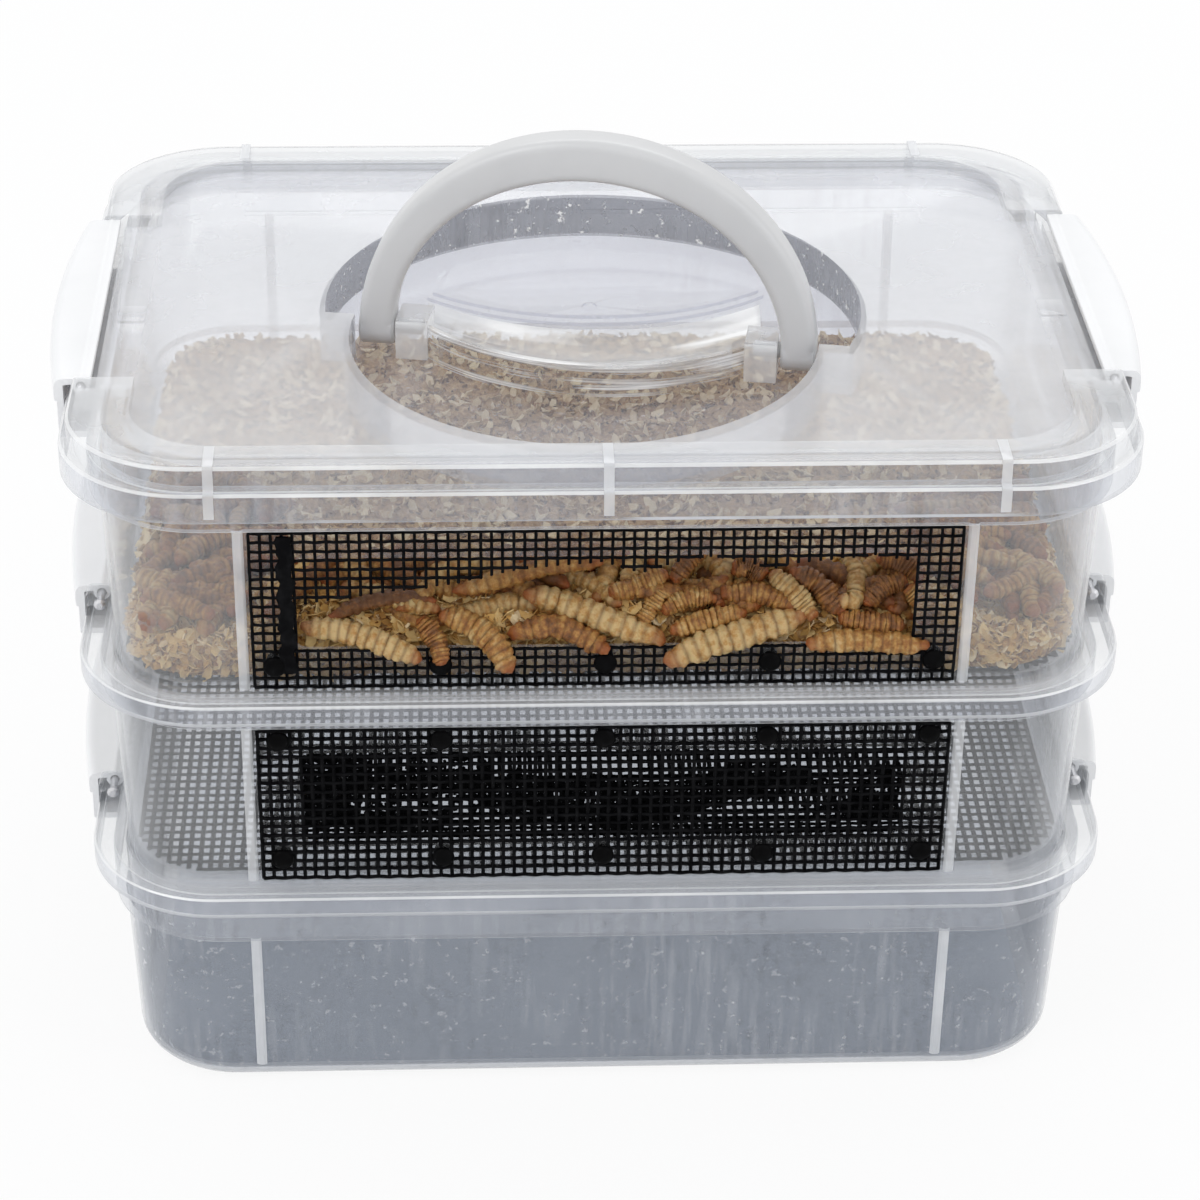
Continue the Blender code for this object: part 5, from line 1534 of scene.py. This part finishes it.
chaff = front_strip(bran_bed, "golden_chaff")
scatter = flake_tree("chaff_scraps", 0.5, 1.7, golden_chaff)
scatter.run(chaff, {"Density": 420000.0, "Flake": flake_model, "Seed": SEED + 1})
finish_piece(chaff, "upper_tray", [], [], 40.0)
bpy.data.objects.remove(flake_model, do_unlink=True)
for piece in (flakes, chaff):
    print(piece.name, len(piece.data.polygons), "faces")

# %% [markdown]
# A mealworm is a segmented tube with a blunt head. Each larva is drawn as a path of a few points and a tree
# sweeps the body along it, swelling it between the segment rings and tapering both ends.
# %% Larva paths
LARVA_TONES = {"dark": 0.02, "brown": 0.25, "amber": 0.42, "gold": 0.68, "dull": 0.6, "cream": 0.98}
FRONT_LARVAE = [
    ("dark", 4.8, [(-82, -105, 168), (-72, -102, 171), (-61, -101, 173), (-50, -102, 172)]),
    ("dull", 6.0, [(-45, -100, 174), (-31, -98, 177), (-16, -96, 180), (0, -95, 181)]),
    ("cream", 7.4, [(-90, -106, 166), (-77, -107, 165), (-65, -110, 162), (-54, -113, 158)]),
    ("amber", 6.2, [(-55, -105, 168), (-50, -109, 163), (-48, -114, 157)]),
    ("gold", 8.3, [(-49, -104, 169), (-40, -106, 166), (-33, -110, 162), (-28, -115, 155)]),
    ("amber", 7.4, [(-29, -108, 164), (-15, -107, 166), (-6, -109, 163), (1, -112, 160)]),
    ("cream", 8.3, [(-24, -101, 174), (-13, -102, 171), (1, -106, 167), (18, -110, 162)]),
    ("cream", 8.9, [(17, -114, 157), (29, -111, 161), (46, -108, 165), (60, -105, 168)]),
    ("gold", 7.1, [(59, -111, 161), (72, -110, 162), (84, -110, 161), (96, -111, 160)]),
    ("cream", 7.1, [(49, -97, 178), (55, -101, 174), (59, -103, 170), (62, -106, 167)]),
    ("brown", 7.1, [(55, -97, 178), (63, -99, 175), (67, -102, 171), (71, -105, 168)]),
    ("amber", 6.5, [(69, -106, 167), (79, -107, 166), (89, -107, 165)]),
    ("amber", 6.5, [(34, -101, 173), (46, -101, 173), (57, -104, 169)]),
    ("dull", 5.9, [(17, -104, 169), (25, -102, 172), (33, -102, 172)]),
    ("gold", 5.3, [(10, -107, 165), (14, -103, 170), (18, -100, 175)]),
    ("brown", 5.9, [(20, -99, 176), (25, -95, 181), (32, -91, 185)]),
    ("brown", 7.1, [(38, -96, 179), (43, -96, 179), (48, -98, 177)]),
    ("dull", 6.5, [(1, -101, 173), (10, -99, 175), (19, -97, 178)]),
    ("brown", 6.5, [(77, -104, 170), (83, -100, 174), (90, -98, 176)]),
    ("brown", 7.1, [(81, -94, 181), (88, -95, 180), (95, -98, 176)]),
    ("dull", 6.5, [(19, -108, 164), (31, -106, 167), (42, -105, 169)]),
    ("gold", 6.5, [(90, -100, 174), (94, -103, 170), (95, -107, 165)]),
]
SEGMENTS = 13
PATH_POINTS = 6 * SEGMENTS + 1


def smooth_path(points, count):
    """Points evenly spread along a smooth line through the given ones."""
    knots = [Vector(p) * MM for p in points]
    knots = [2 * knots[0] - knots[1]] + knots + [2 * knots[-1] - knots[-2]]
    spans = len(knots) - 3
    made = []
    for k in range(count):
        t = min(k / (count - 1) * spans, spans - 1e-6)
        i = int(t)
        f = t - i
        a, b, c, d = knots[i : i + 4]
        made.append(
            0.5 * (2 * b + (c - a) * f + (2 * a - 5 * b + 4 * c - d) * f * f + (3 * b - a - 3 * c + d) * f ** 3)
        )
    return made


def loose_larva(draw, x, y, high):
    """A larva that lies on the bran at this place, bent a little one way."""
    turn = draw.uniform(0, math.tau)
    bend = draw.uniform(-0.9, 0.9)
    long = draw.uniform(24.0, 36.0)
    thick = draw.uniform(5.0, 7.4)
    points = []
    for k in range(4):
        share = k / 3 - 0.5
        angle = turn + bend * share
        px = x + math.cos(angle) * long * share
        py = y + math.sin(angle) * long * share
        px = max(-137.0, min(137.0, px))
        py = max(-103.0, min(103.0, py))
        pz = (BED_FLOOR_Z + bed_height(px * MM, py * MM)) / MM + 0.36 * thick + high
        points.append((px, py, pz))
    return draw.random(), thick, points


def larva_list():
    draw = random.Random(SEED)
    larvae = [(LARVA_TONES[tone], thick, points) for tone, thick, points in FRONT_LARVAE]
    for _ in range(70):
        larvae.append(loose_larva(draw, draw.uniform(-88, 92), draw.uniform(-100, -76), draw.uniform(-1.0, 3.5)))
    for side in (-1, 1):
        for _ in range(44):
            x = side * draw.uniform(104, 136)
            tone, thick, path = loose_larva(draw, x, draw.uniform(-99, -20), draw.uniform(-1.0, 6.0))
            larvae.append((0.3 + 0.6 * tone, thick, path))
    return larvae


# %% Tree that grows larvae


def larva_tree():
    tree = Tree("segmented_larvae")
    lines = tree.add("GeometryNodeMeshToCurve", {"Mesh": tree.source.outputs[0]})
    segments = tree.input("Segments")
    along = tree.add("GeometryNodeSplineParameter").outputs["Factor"]
    wave = tree.math("SINE", tree.math("MULTIPLY", tree.math("MULTIPLY", along, segments), math.pi))
    ring = tree.math("POWER", tree.math("ABSOLUTE", wave), 0.7)
    centred = tree.math("MULTIPLY", tree.math("SUBTRACT", along, 0.5), 2.0)
    blunt = tree.math("SQRT", tree.math("SUBTRACT", 1.001, tree.math("POWER", tree.math("ABSOLUTE", centred), 3.4)))
    saw = tree.math("FRACT", tree.math("MULTIPLY", along, segments))
    flare = tree.math("ADD", tree.math("MULTIPLY", ring, 0.12), tree.math("MULTIPLY", saw, 0.11))
    swell = tree.math("ADD", flare, 0.82)
    thick = tree.add("GeometryNodeInputNamedAttribute", {"Name": "thick"}, data_type="FLOAT").outputs[0]
    radius = tree.math("MULTIPLY", tree.math("MULTIPLY", thick, swell), blunt)
    sized = tree.add("GeometryNodeSetCurveRadius", {"Curve": lines.outputs[0], "Radius": radius})
    marked = tree.add(
        "GeometryNodeStoreNamedAttribute",
        {"Geometry": sized.outputs[0], "Name": "along", "Value": along},
        data_type="FLOAT",
        domain="POINT",
    )
    marked = tree.add(
        "GeometryNodeStoreNamedAttribute",
        {"Geometry": marked.outputs[0], "Name": "ring", "Value": ring},
        data_type="FLOAT",
        domain="POINT",
    )
    sides = tree.input("Sides", "NodeSocketInt")
    profile = tree.add("GeometryNodeCurvePrimitiveCircle", {"Resolution": sides, "Radius": 1.0})
    swept = tree.add(
        "GeometryNodeCurveToMesh",
        {"Curve": marked.outputs[0], "Profile Curve": profile.outputs[0], "Scale": radius, "Fill Caps": True},
    )
    wrinkle = tree.add("ShaderNodeTexNoise", {"Scale": 420.0, "Detail": 2.0}).outputs["Fac"]
    depth = tree.math("MULTIPLY", tree.math("SUBTRACT", wrinkle, 0.5), 2.6 * MM)
    away = tree.add("GeometryNodeInputNormal").outputs[0]
    push = tree.add("ShaderNodeVectorMath", {0: away}, operation="SCALE")
    tree.tree.links.new(depth, push.inputs["Scale"])
    wrinkled = tree.add("GeometryNodeSetPosition", {"Geometry": swept.outputs[0], "Offset": push.outputs[0]})
    tree.finish(wrinkled.outputs[0], larva_skin)
    return tree


def make_larvae(name, larvae, tree, count, sides):
    draw = random.Random(SEED)
    points = []
    edges = []
    tones = []
    widths = []
    for tone, thick, path in larvae:
        start = len(points)
        shifts = [draw.uniform(-0.12, 0.12) for _ in range(SEGMENTS + 1)]
        for k, point in enumerate(smooth_path(path, count)):
            points.append(tuple(point))
            own = shifts[min(SEGMENTS, round(k / (count - 1) * SEGMENTS))]
            tones.append(min(1.0, max(0.0, tone + own)))
            widths.append(thick * (1 + 0.5 * own) / 2 * MM)
        edges += [(k, k + 1) for k in range(start, len(points) - 1)]
    made = plan_lines(name, points, edges, {"tone": tones, "thick": widths})
    tree.run(made, {"Segments": float(SEGMENTS), "Sides": sides})
    finish_piece(made, "upper_tray", [], [], 80.0)


all_larvae = larva_list()
growing = larva_tree()
make_larvae("mealworms", all_larvae[: len(FRONT_LARVAE)], growing, PATH_POINTS, 20)
make_larvae("mealworm_heap", all_larvae[len(FRONT_LARVAE) :], growing, 4 * SEGMENTS + 1, 11)

# %% Folded edge of the feeding hole


def make_net_fold():
    """The cut net is turned back at the left side of the hole and shows as a dark crumpled strip."""
    rings = []
    low = 6.0
    high = 53.0
    for k in range(25):
        up = low + (high - low) * k / 24
        sway = 0.5 * math.sin(k * 1.3) + 0.3 * math.sin(k * 2.9)
        ring = []
        for step in range(12):
            turn = math.tau * step / 12
            rough = 1 + 0.12 * math.sin(5 * turn + k * 1.7)
            ring.append((-93.5 + sway + 2.3 * rough * math.cos(turn), up, 0.55 * rough * math.sin(turn)))
        rings.append([(x * MM, y * MM, z * MM) for x, y, z in ring])
    fold = loft("net_fold", rings)
    place(fold, upper.front_wall(0.5 * MM, 2.0 * MM) @ STAND)
    finish_piece(fold, "upper_tray", [], [net_black], 50.0)


make_net_fold()

# %% Kept CAD nodes get their finishes
for name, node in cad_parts.items():
    if "latch_pin" in name:
        node.data.materials.clear()
        node.data.materials.append(pin_steel)
    elif "handle_pin" in name:
        node.data.materials.clear()
        node.data.materials.append(handle_white_painted_shade)
print("kept nodes", len(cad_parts))
